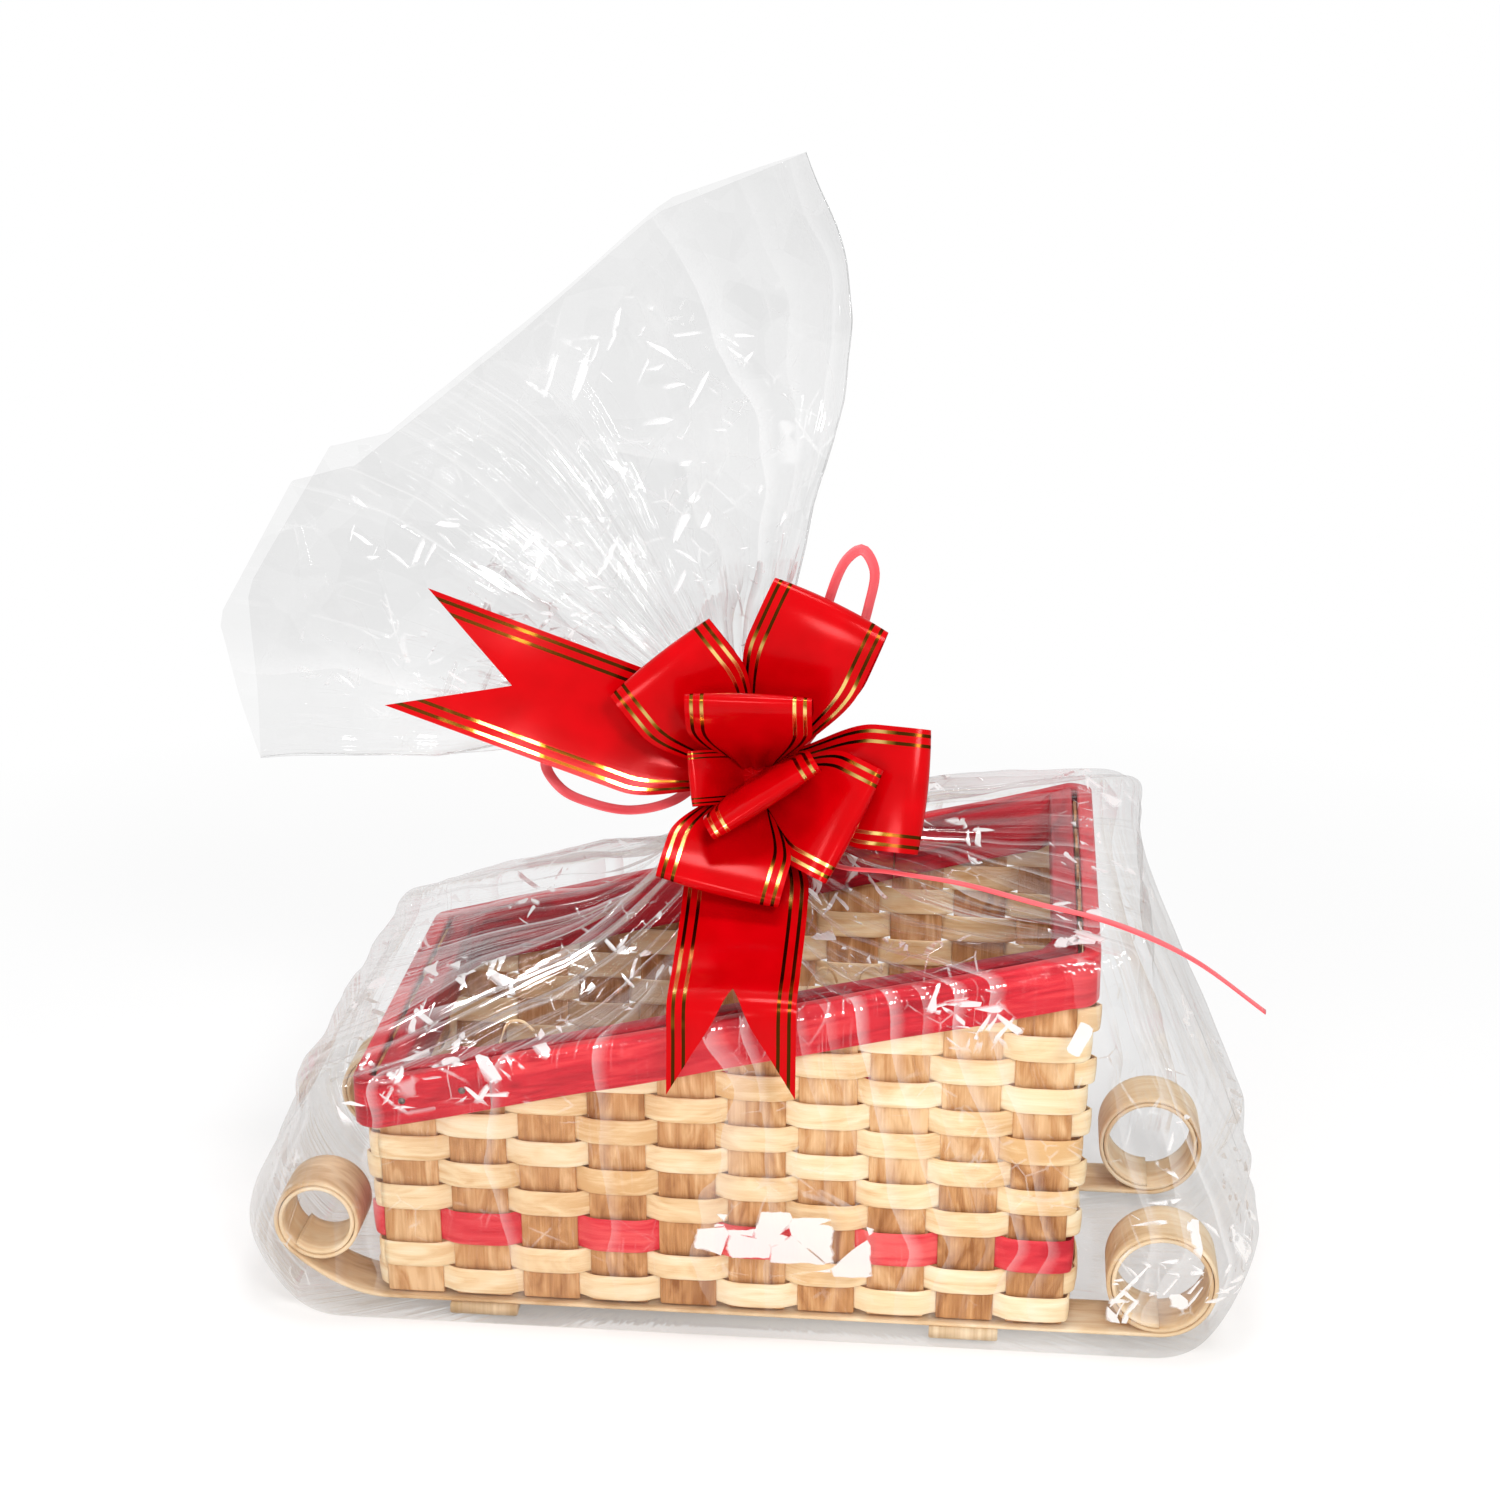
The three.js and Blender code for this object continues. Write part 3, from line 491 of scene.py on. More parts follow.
def steel(name):
    made = new_material(name)
    stain = noise(object_place(made[1]), 900.0)
    colour = ramp(stain, (0.3, (96, 84, 78)), (0.7, (150, 140, 132)))
    return principled(made, Base_Color=colour, Metallic=0.9, Roughness=0.4)


# Painted highlights on the film, white slivers that stand for lamp light caught by crumpled facets: the
# turn and size of their cells, and how rare they are
GLINT_SHARDS = (
    ((0.4, 0.5, 0.2), (0.002, 0.012, 0.017), 0.945),
    ((-0.5, -0.9, 0.4), (0.0017, 0.01, 0.012), 0.955),
    ((0.2, 1.5, -0.3), (0.002, 0.01, 0.012), 0.96),
)
TENT_GLINT_SHARDS = ((0.3, -0.6, 0.1), (0.005, 0.011, 0.014), 0.975)


def glint_shards(place, tent, turn, size, least):
    """Painted highlights as white slivers, crisp on one side: a few cells of a stretched mosaic, more of
    them in the tent.
    """
    shape = {"Vector": place, "Rotation": turn, "Scale": size}
    stretched = node(place, "Mapping", shape, vector_type="TEXTURE").outputs["Vector"]
    cells = node(place, "TexVoronoi", {"Vector": stretched, "Scale": 1.0}).outputs
    ends = {0: stretched, 1: cells["Position"]}
    away = axes(node(place, "VectorMath", ends, operation="SUBTRACT").outputs[0])
    side = plus(away["X"], away["Y"], times(tent, 0.1))
    picked = plus(axes(cells["Color"])["X"], times(tent, 0.02))
    return times(spread(picked, least, least + 0.002), spread(side, -0.7, -0.1))


def painted_fold_veils(tree, often):
    """Painted highlights: milky white bands along the folds, each crisp on one side and fading on the
    other.
    """
    sway = times(grain_noise(tree, 0.01, 0.012), 3.0)
    place = plus(times(axes(grain_place(tree))["X"], often), sway)
    number = {"W": calc("FLOOR", place, 0.0)}
    level = node(tree, "TexWhiteNoise", number, noise_dimensions="1D").outputs["Value"]
    return times(spread(calc("FRACT", place, 0.0), 0.0, 0.45, 1.0, 0.0), spread(level, 0.4, 0.9))


def crease_lines(place, scale, width):
    """Thin straight lines where the film's facets meet, and a random tone for each facet."""
    mosaic = {"Vector": place, "Scale": scale}
    cells = node(place, "TexVoronoi", mosaic, feature="DISTANCE_TO_EDGE")
    facets = node(place, "TexVoronoi", mosaic).outputs["Color"]
    return spread(cells.outputs["Distance"], width * scale, 0.3 * width * scale), axes(facets)["Y"]


def film_patterns(tree):
    """Relief of the film, its facet tones, and the white lines and slivers painted as highlights where it
    is folded.
    """
    place = object_place(tree)
    bent = {0: noise(place, 14.0, output="Color"), 1: (0.02, 0.02, 0.02), 2: place}
    warped = node(tree, "VectorMath", bent, operation="MULTIPLY_ADD").outputs[0]
    crackle_highlight = node(tree, "Attribute", attribute_name="crackle_highlight").outputs["Fac"]
    painted_glint = node(tree, "Attribute", attribute_name="painted_glint").outputs["Fac"]
    tent = spread(axes(place)["Z"], 0.225, 0.205)

    # Painted highlights: white on creases in short stretches, on ridges of the pleats, and milky folds
    wide_line, wide_tone = crease_lines(warped, 22.0, 0.0007)
    fine_line, fine_tone = crease_lines(warped, 64.0, 0.0005)
    gaps = noise(place, 95.0, 1.0)
    clusters = spread(noise(place, 24.0), 0.52, 0.6)
    crease_highlight = times(most(wide_line, fine_line), clusters, spread(gaps, 0.47, 0.55))
    pleats = grain_noise(tree, 0.22, 0.005)
    ridge = spread(size_of(calc("SUBTRACT", pleats, 0.5)), 0.016, 0.002)
    ridge_highlight = times(ridge, spread(grain_noise(tree, 0.05, 0.025, 1.0), 0.47, 0.6), 0.5)
    painted_veil = times(most(painted_fold_veils(tree, 0.03), painted_fold_veils(tree, 0.085)), spread(crackle_highlight, 0.0, 0.8), 0.85)
    lines = most(times(most(crease_highlight, ridge_highlight), crackle_highlight), painted_veil)

    # Painted highlights: white slivers where the film is crumpled, and painted patches of lamp reflection
    # at set places
    slivers = [glint_shards(warped, tent, *kind) for kind in GLINT_SHARDS]
    picked = most(*slivers, times(glint_shards(warped, tent, *TENT_GLINT_SHARDS), tent))
    busy = times(crackle_highlight, spread(noise(place, 15.0), 0.42, 0.62))
    white = times(picked, spread(busy, 0.4, 0.46), spread(noise(place, 80.0, 3.0), 0.42, 0.47))
    corners = times(calc("SUBTRACT", fine_tone, 0.75), 0.9)
    glint = plus(painted_glint, corners, spread(noise(warped, 80.0, 3.0), 0.3, 0.7, -0.1, 0.05))
    creased = times(fine_line, spread(gaps, 0.5, 0.6), 0.75)
    white = most(white, times(spread(glint, 0.0, 0.03), spread(creased, 0.0, 1.0, 1.0, 0.0)))

    tone = plus(times(wide_tone, 0.5), times(fine_tone, 0.5))
    relief = plus(times(tone, 0.5), times(pleats, 0.8))
    return relief, tone, lines, white


def clear_film(name):
    """Clear crackly film: it tints a little, more at a slant, and has painted highlights, white on its
    creases and slivers.
    """
    material, tree = new_material(name)
    relief, tone, lines, white = film_patterns(tree)
    normal = bumps(relief, 0.35, 0.005)
    fresnel = node(tree, "Fresnel", {"IOR": 1.45, "Normal": normal}).outputs[0]
    slant = node(tree, "LayerWeight", {"Blend": 0.3}).outputs["Facing"]
    clear = ramp(slant, (0, (252, 252, 252)), (0.6, (248, 248, 248)), (1, (240, 240, 240)))

    # The fan and the ends are a little darker, and a painted reflection makes the film reflect more
    # towards the low end
    spot = axes(object_place(tree))
    gathered = spread(spot["Z"], 0.228, 0.275)
    ends = most(spread(spot["X"], 0.13, 0.165), spread(spot["X"], -0.13, -0.165, 0.0, 0.4))
    # Painted reflection: more white share towards the low end
    loose = spread(spot["X"], 0.06, -0.09, 0.4, 1.0)
    shade = times(spread(tone, 0.2, 0.8, 0.55, 1.0), most(gathered, ends))
    tint = blend(shade, clear, paint(245, 245, 245), blend_type="MULTIPLY")

    through = node(tree, "BsdfTransparent", {"Color": tint})
    gloss = {"Color": (0.97, 0.97, 0.97, 1), "Roughness": 0.06, "Normal": normal}
    mirror = node(tree, "BsdfGlossy", gloss)
    lit = node(tree, "BsdfDiffuse", {"Color": paint(252, 252, 252)})
    behind = node(tree, "BsdfTranslucent", {"Color": paint(252, 252, 252)})
    milky = layered(most(times(white, 0.6), 0.3), mirror, layered(0.4, lit, behind))
    share = times(spread(fresnel, 0.034, 0.3, 0.016, 0.5), loose)
    # Painted highlights: creases, slivers and glint patches turn the film white
    share = most(share, times(lines, 0.66), times(white, 0.93))
    return cover(material, tree, layered(share, through, milky))


stake_wood = wood("stake_wood", (150, 94, 50), (204, 150, 98), (238, 198, 150), 0.55)
weaver_wood = wood("weaver_wood", (224, 180, 126), (245, 217, 172), (253, 238, 206), 0.5)
red_wood = wood("red_wood", (188, 28, 44), (222, 52, 64), (240, 96, 96), 0.45)
rim_wood = wood("rim_wood", (162, 12, 30), (208, 32, 48), (230, 62, 68), 0.4, 0.25, 0.2)
# A darker copy of the rim wood: painted shade for the inner band, which faces into the basket
inner_rim_wood_shaded = wood("inner_rim_wood_shaded", (112, 0, 18), (166, 8, 30), (196, 24, 42), 0.45, 0.2, 0.2)
runner_wood = wood("runner_wood", (208, 170, 124), (238, 210, 170), (250, 232, 202), 0.5)
batten_wood = wood("batten_wood", (198, 166, 124), (226, 200, 164), (242, 224, 194), 0.6)
bow_satin = ribbon("bow_satin")
tie_satin = plain_ribbon("tie_satin")
film_clear = clear_film("film_clear")
nail_steel = steel("nail_steel")

# Narrow tie ribbon: routes of its free stretches
TAIL_ROUTE = (
    (12.1, -10.6, 216.5), (20, -24, 206.9), (38, -50, 194.5), (64, -59, 194.5), (91, -67, 194),
    (122, -84, 193), (144, -98, 193.5), (163, -109, 191), (182, -113, 183), (208, -115, 165),
)
UPPER_LOOP_ROUTE = (
    (17, 1, 221), (24, -4, 241), (30, -8, 267), (34, -10, 291), (41, -11, 309), (47, -10, 313),
    (52, -9, 305), (50, -7, 289), (42, -2, 261), (30, 4, 235), (17, 6, 216),
)
LOWER_LOOP_ROUTE = (
    (-14.6, -7, 219), (-40, -14, 228), (-62, -16, 232), (-76, -17, 229), (-80, -19, 221),
    (-73, -21, 211), (-61, -22, 206), (-45, -22, 203.5), (-28, -19, 207), (-14.6, -8, 215),
)


def add_cord(name, strip, path):
    """A strip of tie ribbon along its path."""
    piece = add_piece(name + "_satin", strip, tie_satin, "tie_ribbon", name)
    path = path * MM
    length = float(lengths_along(path)[-1])
    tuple(path[0])


def tie_ribbon(name, route, face):
    """A free stretch of flat tie ribbon that turns its face towards one side along its route."""
    line = smooth_route(route, 120)
    ahead = tangents(line)
    outs = unit(face - np.sum(face * ahead, axis=1, keepdims=True) * ahead)
    strip = sweep(line, np.cross(outs, ahead), outs, flat_section(TIE_WIDTH, 0.35, 0.25, 0.1))
    add_cord(name, strip, smooth_route(route, 36))


tie_ribbon("tie_ribbon_tail", TAIL_ROUTE, vec(0.0, 0.0, 1.0))
tie_ribbon("tie_ribbon_upper_loop", UPPER_LOOP_ROUTE, vec(0.5, -0.85, 0.1))
tie_ribbon("tie_ribbon_lower_loop", LOWER_LOOP_ROUTE, vec(0.1, -0.6, 0.8))


# Basket walls: a place function gives the point at a height, so far out of the wall's middle
def wall_half_depth(z):
    return BASE_HALF_DEPTH + LONG_WALL_LEAN * (z - BASE_MIDDLE)


def wall_half_length(side, z):
    return HALF_LENGTH + (HIGH_END_LEAN * (z - BASE_MIDDLE) if side > 0 else 0)


def rim_top(x):
    return mix(LOW_RIM, HIGH_RIM, np.clip((x + HALF_LENGTH) / (2 * HALF_LENGTH), 0, 1))


def cross_stake_x(index):
    return (index - (CROSS_STAKES - 1) / 2) * CROSS_PITCH


def end_stake_y(index, z):
    return (index - (LONG_STAKES - 1) / 2) * LONG_PITCH * wall_half_depth(z) / BASE_HALF_DEPTH


def long_place(side, x):
    return lambda z, offset: vec(x, side * (wall_half_depth(z) + offset), z)


def end_place(side, index, shift=0.0):
    def place(z, offset):
        return vec(side * (wall_half_length(side, z) + offset), end_stake_y(index, z) + shift, z)

    return place


def corner_place(side_x, side_y, degrees, loose=False):
    """A place round a corner: on a row's loose loop, or on the tight turn of a band or a covered row."""
    c, s = cos(radians(degrees)), sin(radians(degrees))

    def place(z, offset):
        x = wall_half_length(side_x, z) + offset
        y = wall_half_depth(z) + offset
        if loose:
            x = mix(CROSS_EDGE + 0.5, x + CORNER_FLARE * (z - BASE_MIDDLE), c)
            y -= CORNER_DEPTH * (1 - s)
        else:
            radius = max(RIM_CORNER + offset, LEAST_CORNER)
            x -= radius * (1 - c)
            y -= radius * (1 - s)
        return vec(side_x * x, side_y * y, z)

    return place


# Woven rows
def row_width(row):
    return RED_ROW_WIDTH if row == RED_ROW else ROW_WIDTH


def row_levels(row):
    below = sum(row_width(lower) + ROW_PITCH_GAP for lower in range(1, row))
    bottom = BASE_MIDDLE + FIRST_ROW_LIFT + below
    return bottom, bottom + row_width(row)


def row_side(crossing, row):
    return -1 if (crossing + row) % 2 else 1


def side_beside(stop, other, row):
    """The side on which a row passes a crossing, or the crossing beyond it if the stop is a corner."""
    return row_side((other if stop[0] == "corner" else stop)[3], row)


def wall_order():
    """Every stake crossing and corner on the way round the wall, from the front's low end.

    A crossing is its wall's kind and side, its stake and its number. A corner is two sides and its turns.
    """
    order = []
    crossing = 0
    for kind, side, stakes, corner in (
        ("long", -1, range(CROSS_STAKES), (1, -1, CORNER_TURNS)),
        ("end", 1, range(LONG_STAKES), (1, 1, CORNER_TURNS[::-1])),
        ("long", 1, range(CROSS_STAKES)[::-1], (-1, 1, CORNER_TURNS)),
        ("end", -1, range(LONG_STAKES)[::-1], (-1, -1, CORNER_TURNS[::-1])),
    ):
        order += [(kind, side, index, crossing + n) for n, index in enumerate(stakes)]
        order.append(("corner", *corner))
        crossing += len(stakes)
    return order


def stop_x(stop):
    return cross_stake_x(stop[2]) if stop[0] == "long" else stop[1] * HALF_LENGTH


def corner_spots(stop, before, after, row, covered):
    """Spots of a row round a corner, on its way from one side of the wall's middle to the other."""
    start = side_beside(before, after, row)
    end = side_beside(after, before, row)
    spots = []
    for number, degrees in enumerate(stop[3]):
        turned = mix(start, end, ease((number + 0.5) / len(stop[3])))
        place = corner_place(stop[1], stop[2], degrees, not covered)
        spots.append((place, turned * PASS_OFFSET, CORNER_CROWN))
    return spots


def pass_spots(stop, row, from_edge, to_edge, covered):
    """Spots of a row as it passes one stake: past it at an edge, else half way to the next."""
    kind, side, index, crossing = stop
    sign = row_side(crossing, row)
    bulge = HIDDEN_BULGE if covered else OUT_BULGE if sign > 0 else IN_BULGE
    power = 4 if sign > 0 else 5
    if kind == "long":
        half = CROSS_PITCH / 2
    else:
        half = LONG_PITCH / 2 * wall_half_depth(row_levels(row)[0]) / BASE_HALF_DEPTH
    steps = np.linspace(-PASS_REACH if from_edge else -half, PASS_REACH if to_edge else half, 13)
    spots = []
    for step in steps if to_edge else steps[:-1]:
        offset = sign * max(bulge * (1 - abs(step / half) ** power), 0.0)
        if kind == "long":
            place = long_place(side, cross_stake_x(index) - side * step)
        else:
            place = end_place(side, index, side * step)
        spots.append((place, offset, HIDDEN_CROWN if covered else PASS_CROWN))
    return spots


def weaver(row):
    """One woven row, bulging in front of one stake and passing behind the next."""
    bottom, top = row_levels(row)
    order = wall_order()
    used = [stop for stop in order if top <= rim_top(stop_x(stop) - PASS_REACH) - RIM_CLEARANCE]
    if sum(stop[0] == "long" for stop in used) < LEAST_LONG_PASSES:
        used = [stop for stop in used if stop[0] != "long"]
    whole = len(used) == len(order)
    spots = []
    for number, stop in enumerate(used):
        covered = top > rim_top(stop_x(stop)) - BAND_HEIGHT - RIM_COVER
        before = used[number - 1]
        after = used[(number + 1) % len(used)]
        if stop[0] == "corner":
            spots += corner_spots(stop, before, after, row, covered)
        else:
            from_edge = before[0] == "corner" or number == 0 and not whole
            to_edge = after[0] == "corner" or number == len(used) - 1 and not whole
            spots += pass_spots(stop, row, from_edge, to_edge, covered)
    if whole:
        spots.append(spots[0])
    width = RED_ROW_WIDTH + RED_ROW_OVERLAP if row == RED_ROW else WEAVER_WIDTH
    low_edge = np.array([place(bottom, offset) for place, offset, crown in spots])
    high_edge = np.array([place(top, offset) for place, offset, crown in spots])
    centres = (low_edge + high_edge) / 2
    across = unit(high_edge - low_edge)
    ahead = tangents(centres)
    if whole:
        ahead[0] = ahead[-1] = unit(centres[1] - centres[-2])
    outs = unit(np.cross(ahead, across))
    flat = flat_section(width, WEAVER_THICKNESS, 0.0, 0.35)
    crowned = flat_section(width, WEAVER_THICKNESS, 1.0, 0.35)
    crowns = np.array([crown for place, offset, crown in spots])
    lift = flat[None, :, 1:] + crowns[:, None, None] * (crowned - flat)[None, :, 1:]
    rings = centres[:, None] + flat[None, :, :1] * across[:, None] + lift * outs[:, None]
    strip = closed_strip(rings, flat[:, 0])
    name = f"weaver_row_{row}_red" if row == RED_ROW else f"weaver_row_{row}"
    finish = (red_wood, "red_splint") if row == RED_ROW else (weaver_wood, "weaver_splint")
    add_piece(name + "_splint", strip, *finish, name)


# Stakes
def pushed(crossing, z):
    """How far a stake gives way to the row that passes it at a height."""
    for row in range(1, ROWS + 1):
        bottom, top = row_levels(row)
        if bottom <= z <= top:
            share = (z - bottom) / (top - bottom)
            return -STAKE_PUSH * row_side(crossing, row) * sin(pi * share)
    return 0.0


def stake_end(foot, out, place, top, crossing):
    """Centres and outward ways of a stake's end, from its bend at the base to its top in the wall."""
    spots = []
    for degrees in (90, 67, 45, 22):
        angle = radians(degrees)
        turned = unit(out * cos(angle) - vec(0, 0, sin(angle)))
        spots.append((foot + vec(0, 0, STAKE_BEND) + turned * STAKE_BEND, turned))
    for z in np.linspace(BASE_MIDDLE + STAKE_BEND + 0.5, top, 52):
        spots.append((place(z, pushed(crossing, z)), out))
    return spots


def stake_base(start, end, count, pitch, phase):
    """Centres and outward ways of a stake in the base, over one crossing stake and under the next."""
    spots = []
    for share in np.linspace(0.004, 0.996, 90):
        centre = mix(start, end, share)
        reach = np.dot(centre, unit(end - start))
        nearest = min(max(round(reach / pitch + (count - 1) / 2), 0), count - 1)
        away = abs(reach - (nearest - (count - 1) / 2) * pitch) / (pitch / 2)
        lift = WEAVE_LIFT if (nearest + phase) % 2 else -WEAVE_LIFT
        spots.append((centre + vec(0, 0, lift * max(1 - away ** 5, 0)), vec(0, 0, -1)))
    return spots


def stake(name, ends, base, across):
    """A splint down one wall, through the others in the base and up the other wall."""
    down, up = (stake_end(*end) for end in ends)
    spots = down[::-1] + stake_base(ends[0][0], ends[1][0], *base) + up
    centres, outs = (np.array(values) for values in zip(*spots))
    strip = sweep(centres, across, unit(outs), flat_section(STAKE_WIDTH, STAKE_THICKNESS, 0.15, 0.4))
    add_piece(name + "_splint", strip, stake_wood, "stake_splint", name)


def cross_stake(index):
    x = cross_stake_x(index)
    top = rim_top(x - STAKE_WIDTH / 2) - STAKE_SINK
    ends = []
    for side, crossing in ((-1, index), (1, CROSSINGS - LONG_STAKES - 1 - index)):
        foot = vec(x, side * (BASE_HALF_DEPTH - STAKE_BEND), BASE_MIDDLE)
        ends.append((foot, unit(vec(0, side, -LONG_WALL_LEAN)), long_place(side, x), top, crossing))
    stake(f"cross_stake_{index + 1}", ends, (LONG_STAKES, LONG_PITCH, index), vec(1, 0, 0))


def long_stake(index):
    y = end_stake_y(index, BASE_MIDDLE)
    ends = []
    crossings = (CROSSINGS - 1 - index, CROSS_STAKES + index)
    for side, rim, crossing in zip((-1, 1), (LOW_RIM, HIGH_RIM), crossings):
        foot = vec(side * (HALF_LENGTH - STAKE_BEND), y, BASE_MIDDLE)
        ends.append((foot, vec(side, 0, 0), end_place(side, index), rim - STAKE_SINK, crossing))
    stake(f"long_stake_{index + 1}", ends, (CROSS_STAKES, CROSS_PITCH, index + 1), vec(0, 1, 0))


# Rim
def band_section(near, far):
    """Pairs of offset and height round a band with rounded edges and a lip over the stakes' tops."""
    half = BAND_HEIGHT / 2
    outline = []
    for turn, (outer, upper) in enumerate(((1, 1), (0, 1), (0, -1), (1, -1))):
        middle = abs(far - near) - BAND_SOFT if outer else BAND_SOFT
        if upper > 0 and not outer:
            middle -= BAND_LIP
        for degrees in (0, 30, 60, 90):
            angle = radians(degrees + 90 * turn)
            height = upper * (half - BAND_SOFT) + BAND_SOFT * sin(angle)
            outline.append((middle + BAND_SOFT * cos(angle), height))
        if turn == 1:
            outline += [(-BAND_LIP, half - 3.8), (0, half - 5)]
    way = 1 if far > near else -1
    return np.array([(near + way * away, height) for away, height in outline])


def rim_band(name, seam_x, seam_side, near, far, material):
    """A bent band along the top of the wall, rounded on its edges, with its ends butted at a seam."""
    straight = wall_half_length(1, HIGH_RIM) - BAND_OFFSET - INNER_BAND - 2 * LEAST_CORNER
    xs = np.linspace(-straight, straight, 33)
    quarter = np.linspace(90, 0, 9)

    def wall(side, stops):
        return [long_place(side, x) for x in stops]

    def end(side_x, side_y):
        there = [corner_place(side_x, side_y, degrees) for degrees in quarter]
        return there + [corner_place(side_x, -side_y, degrees) for degrees in quarter[::-1]]

    places = wall(seam_side, (seam_x + SEAM_HALF_GAP, *xs[xs > seam_x + 2])) + end(1, seam_side)
    places += wall(-seam_side, xs[::-1]) + end(-1, -seam_side)
    places += wall(seam_side, (*xs[xs < seam_x - 2], seam_x - SEAM_HALF_GAP))
    outline = band_section(near, far)
    rings = []
    for number, place in enumerate(places):
        sway = 0.35 * sin(number * 0.55) * sin(number * 0.21)
        level = rim_top(place(LOW_RIM, 0)[0]) - BAND_HEIGHT / 2 + sway
        rings.append([place(level + height, offset) for offset, height in outline])
    strip = closed_strip(np.array(rings), lengths_along(outline))
    add_piece(name + "_wood", strip, material, "rim_wood", name)


def nails():
    """Small round nail heads in the rim's front, beside the butted ends."""
    points = []
    faces = []
    out = unit(vec(0, -1, -LONG_WALL_LEAN))
    up = unit(vec(0, -LONG_WALL_LEAN, 1))
    side = vec(1, 0, 0)
    for x in NAIL_XS:
        centre = long_place(-1, x)(rim_top(x) - NAIL_DROP, BAND_OFFSET + OUTER_BAND - 0.1)
        first = len(points)
        for radius, height in NAIL_RINGS:
            for turn in range(NAIL_SIDES):
                angle = turn / NAIL_SIDES * 2 * pi
                round_it = cos(angle) * side + sin(angle) * up
                points.append(centre + radius * round_it + height * out)
        rows = grid_faces(len(NAIL_RINGS), NAIL_SIDES, True)
        faces += [tuple(first + corner for corner in face) for face in rows]
        faces.append(tuple(range(len(points) - NAIL_SIDES, len(points))))
    points = np.array(points)
    add_piece("rim_nails", (points, faces, points[:, :2]), nail_steel, "rim_wood")


# Runners, battens and fibres
def curl(x, y, z, radius, start, turn_sign):
    """Centres and outward ways of a curl that winds in for two turns."""
    turned = np.linspace(0, 2, 97)[:, None]
    angle = radians(start) + turn_sign * turned * 2 * pi
    outs = np.hstack((np.cos(angle), 0 * angle, np.sin(angle)))
    return vec(x, y, z) + outs * (radius - (RUNNER_THICKNESS + CURL_GAP) * turned), outs


def runner(name, y):
    """A bent strip, straight under the basket and curled over twice at both ends."""
    high = HIGH_CURL[1] - RUNNER_THICKNESS / 2
    low = LOW_CURL[1] - RUNNER_THICKNESS / 2
    high_curl = curl(HIGH_CURL[0], y, RUNNER_MIDDLE + high, high, -90, 1)
    low_curl = curl(LOW_CURL[0], y, RUNNER_MIDDLE + LOW_CURL_LIFT + low, low, LOW_CURL_START, -1)
    heading = radians(LOW_CURL_START)
    lift = low_curl[0][0]
    pull = lift - vec(sin(heading), 0, -cos(heading)) * 18
    flat_end = vec(2 - HALF_LENGTH, y, RUNNER_MIDDLE)
    eased = flat_end - vec(13, 0, 0)
    share = np.linspace(0, 1, 21)[1:, None]
    rest = 1 - share
    bend = rest ** 3 * lift + 3 * rest ** 2 * share * pull
    bend = bend + 3 * rest * share ** 2 * eased + share ** 3 * flat_end
    rate = rest ** 2 * (pull - lift) + 2 * rest * share * (eased - pull) + share ** 2 * (flat_end - eased)
    flat = mix(flat_end, high_curl[0][0], np.linspace(0, 1, 40)[1:-1, None])
    line = np.vstack((low_curl[0][::-1], bend, flat, high_curl[0]))
    bend_outs = unit(rate)[:, [2, 1, 0]] * vec(1, 0, -1)
    outs = np.vstack((low_curl[1][::-1], bend_outs, 0 * flat - vec(0, 0, 1), high_curl[1]))
    strip = sweep(line, vec(0, 1, 0), outs, flat_section(RUNNER_WIDTH, RUNNER_THICKNESS, 0.12, 0.5))
    add_piece(name + "_wood", strip, runner_wood, "runner_wood", name)


def batten(name, x):
    ys = np.linspace(-BATTEN_REACH, BATTEN_REACH, 41)
    line = np.array([vec(x, y, BATTEN_BOTTOM + BATTEN_HEIGHT / 2) for y in ys])
    strip = sweep(line, vec(1, 0, 0), vec(0, 0, 1), flat_section(BATTEN_WIDTH, BATTEN_HEIGHT, 0.0, 0.7))
    add_piece(name + "_wood", strip, batten_wood, "batten_wood", name)


# Loose slivers of wood inside the basket
FIBRES = (
    ((-91, -79.5, 116), (-90, -77, 124), (-87, -75, 130), (-82, -75, 130.5), (-77, -76, 127)),
    ((22, 84, 84), (25, 78, 93), (30, 74, 99), (34, 77, 96), (36, 80, 90)),
    ((46, 84, 90), (48, 78, 97), (52, 76, 100), (56, 79, 96)),
)


def fibre(number, route):
    line = smooth_route(route, 30)
    ahead = tangents(line)
    outs = unit(np.cross(ahead, vec(0.3, 0.2, 1)))
    strip = sweep(line, np.cross(outs, ahead), outs, flat_section(1.2, 0.5, 0.1, 0.15))
    add_piece(f"loose_fibre_{number}", strip, weaver_wood, "weaver_splint")


for number, route in enumerate(FIBRES, 1):
    fibre(number, route)
for number in range(CROSS_STAKES):
    cross_stake(number)
for number in range(LONG_STAKES):
    long_stake(number)
for number in range(1, ROWS + 1):
    weaver(number)
rim_band("rim_outer_band", OUTER_SEAM_X, -1, BAND_OFFSET, BAND_OFFSET + OUTER_BAND, rim_wood)
rim_band("rim_inner_band", INNER_SEAM_X, 1, -BAND_OFFSET, -BAND_OFFSET - INNER_BAND, inner_rim_wood_shaded)
nails()
runner("runner_front", -RUNNER_SPREAD / 2)
runner("runner_back", RUNNER_SPREAD / 2)
batten("batten_low_end", cross_stake_x(1))
batten("batten_high_end", cross_stake_x(CROSS_STAKES - 2))


# Film bag: steps round its rings and between them
CORNER_STEPS = 24
LONG_STEPS = 104
SHORT_STEPS = 56
FILM_STEPS = (18, 13, 34, 14, 30, 22, 12, 6, 5, 12, 13, 17, 17, 17, 15)

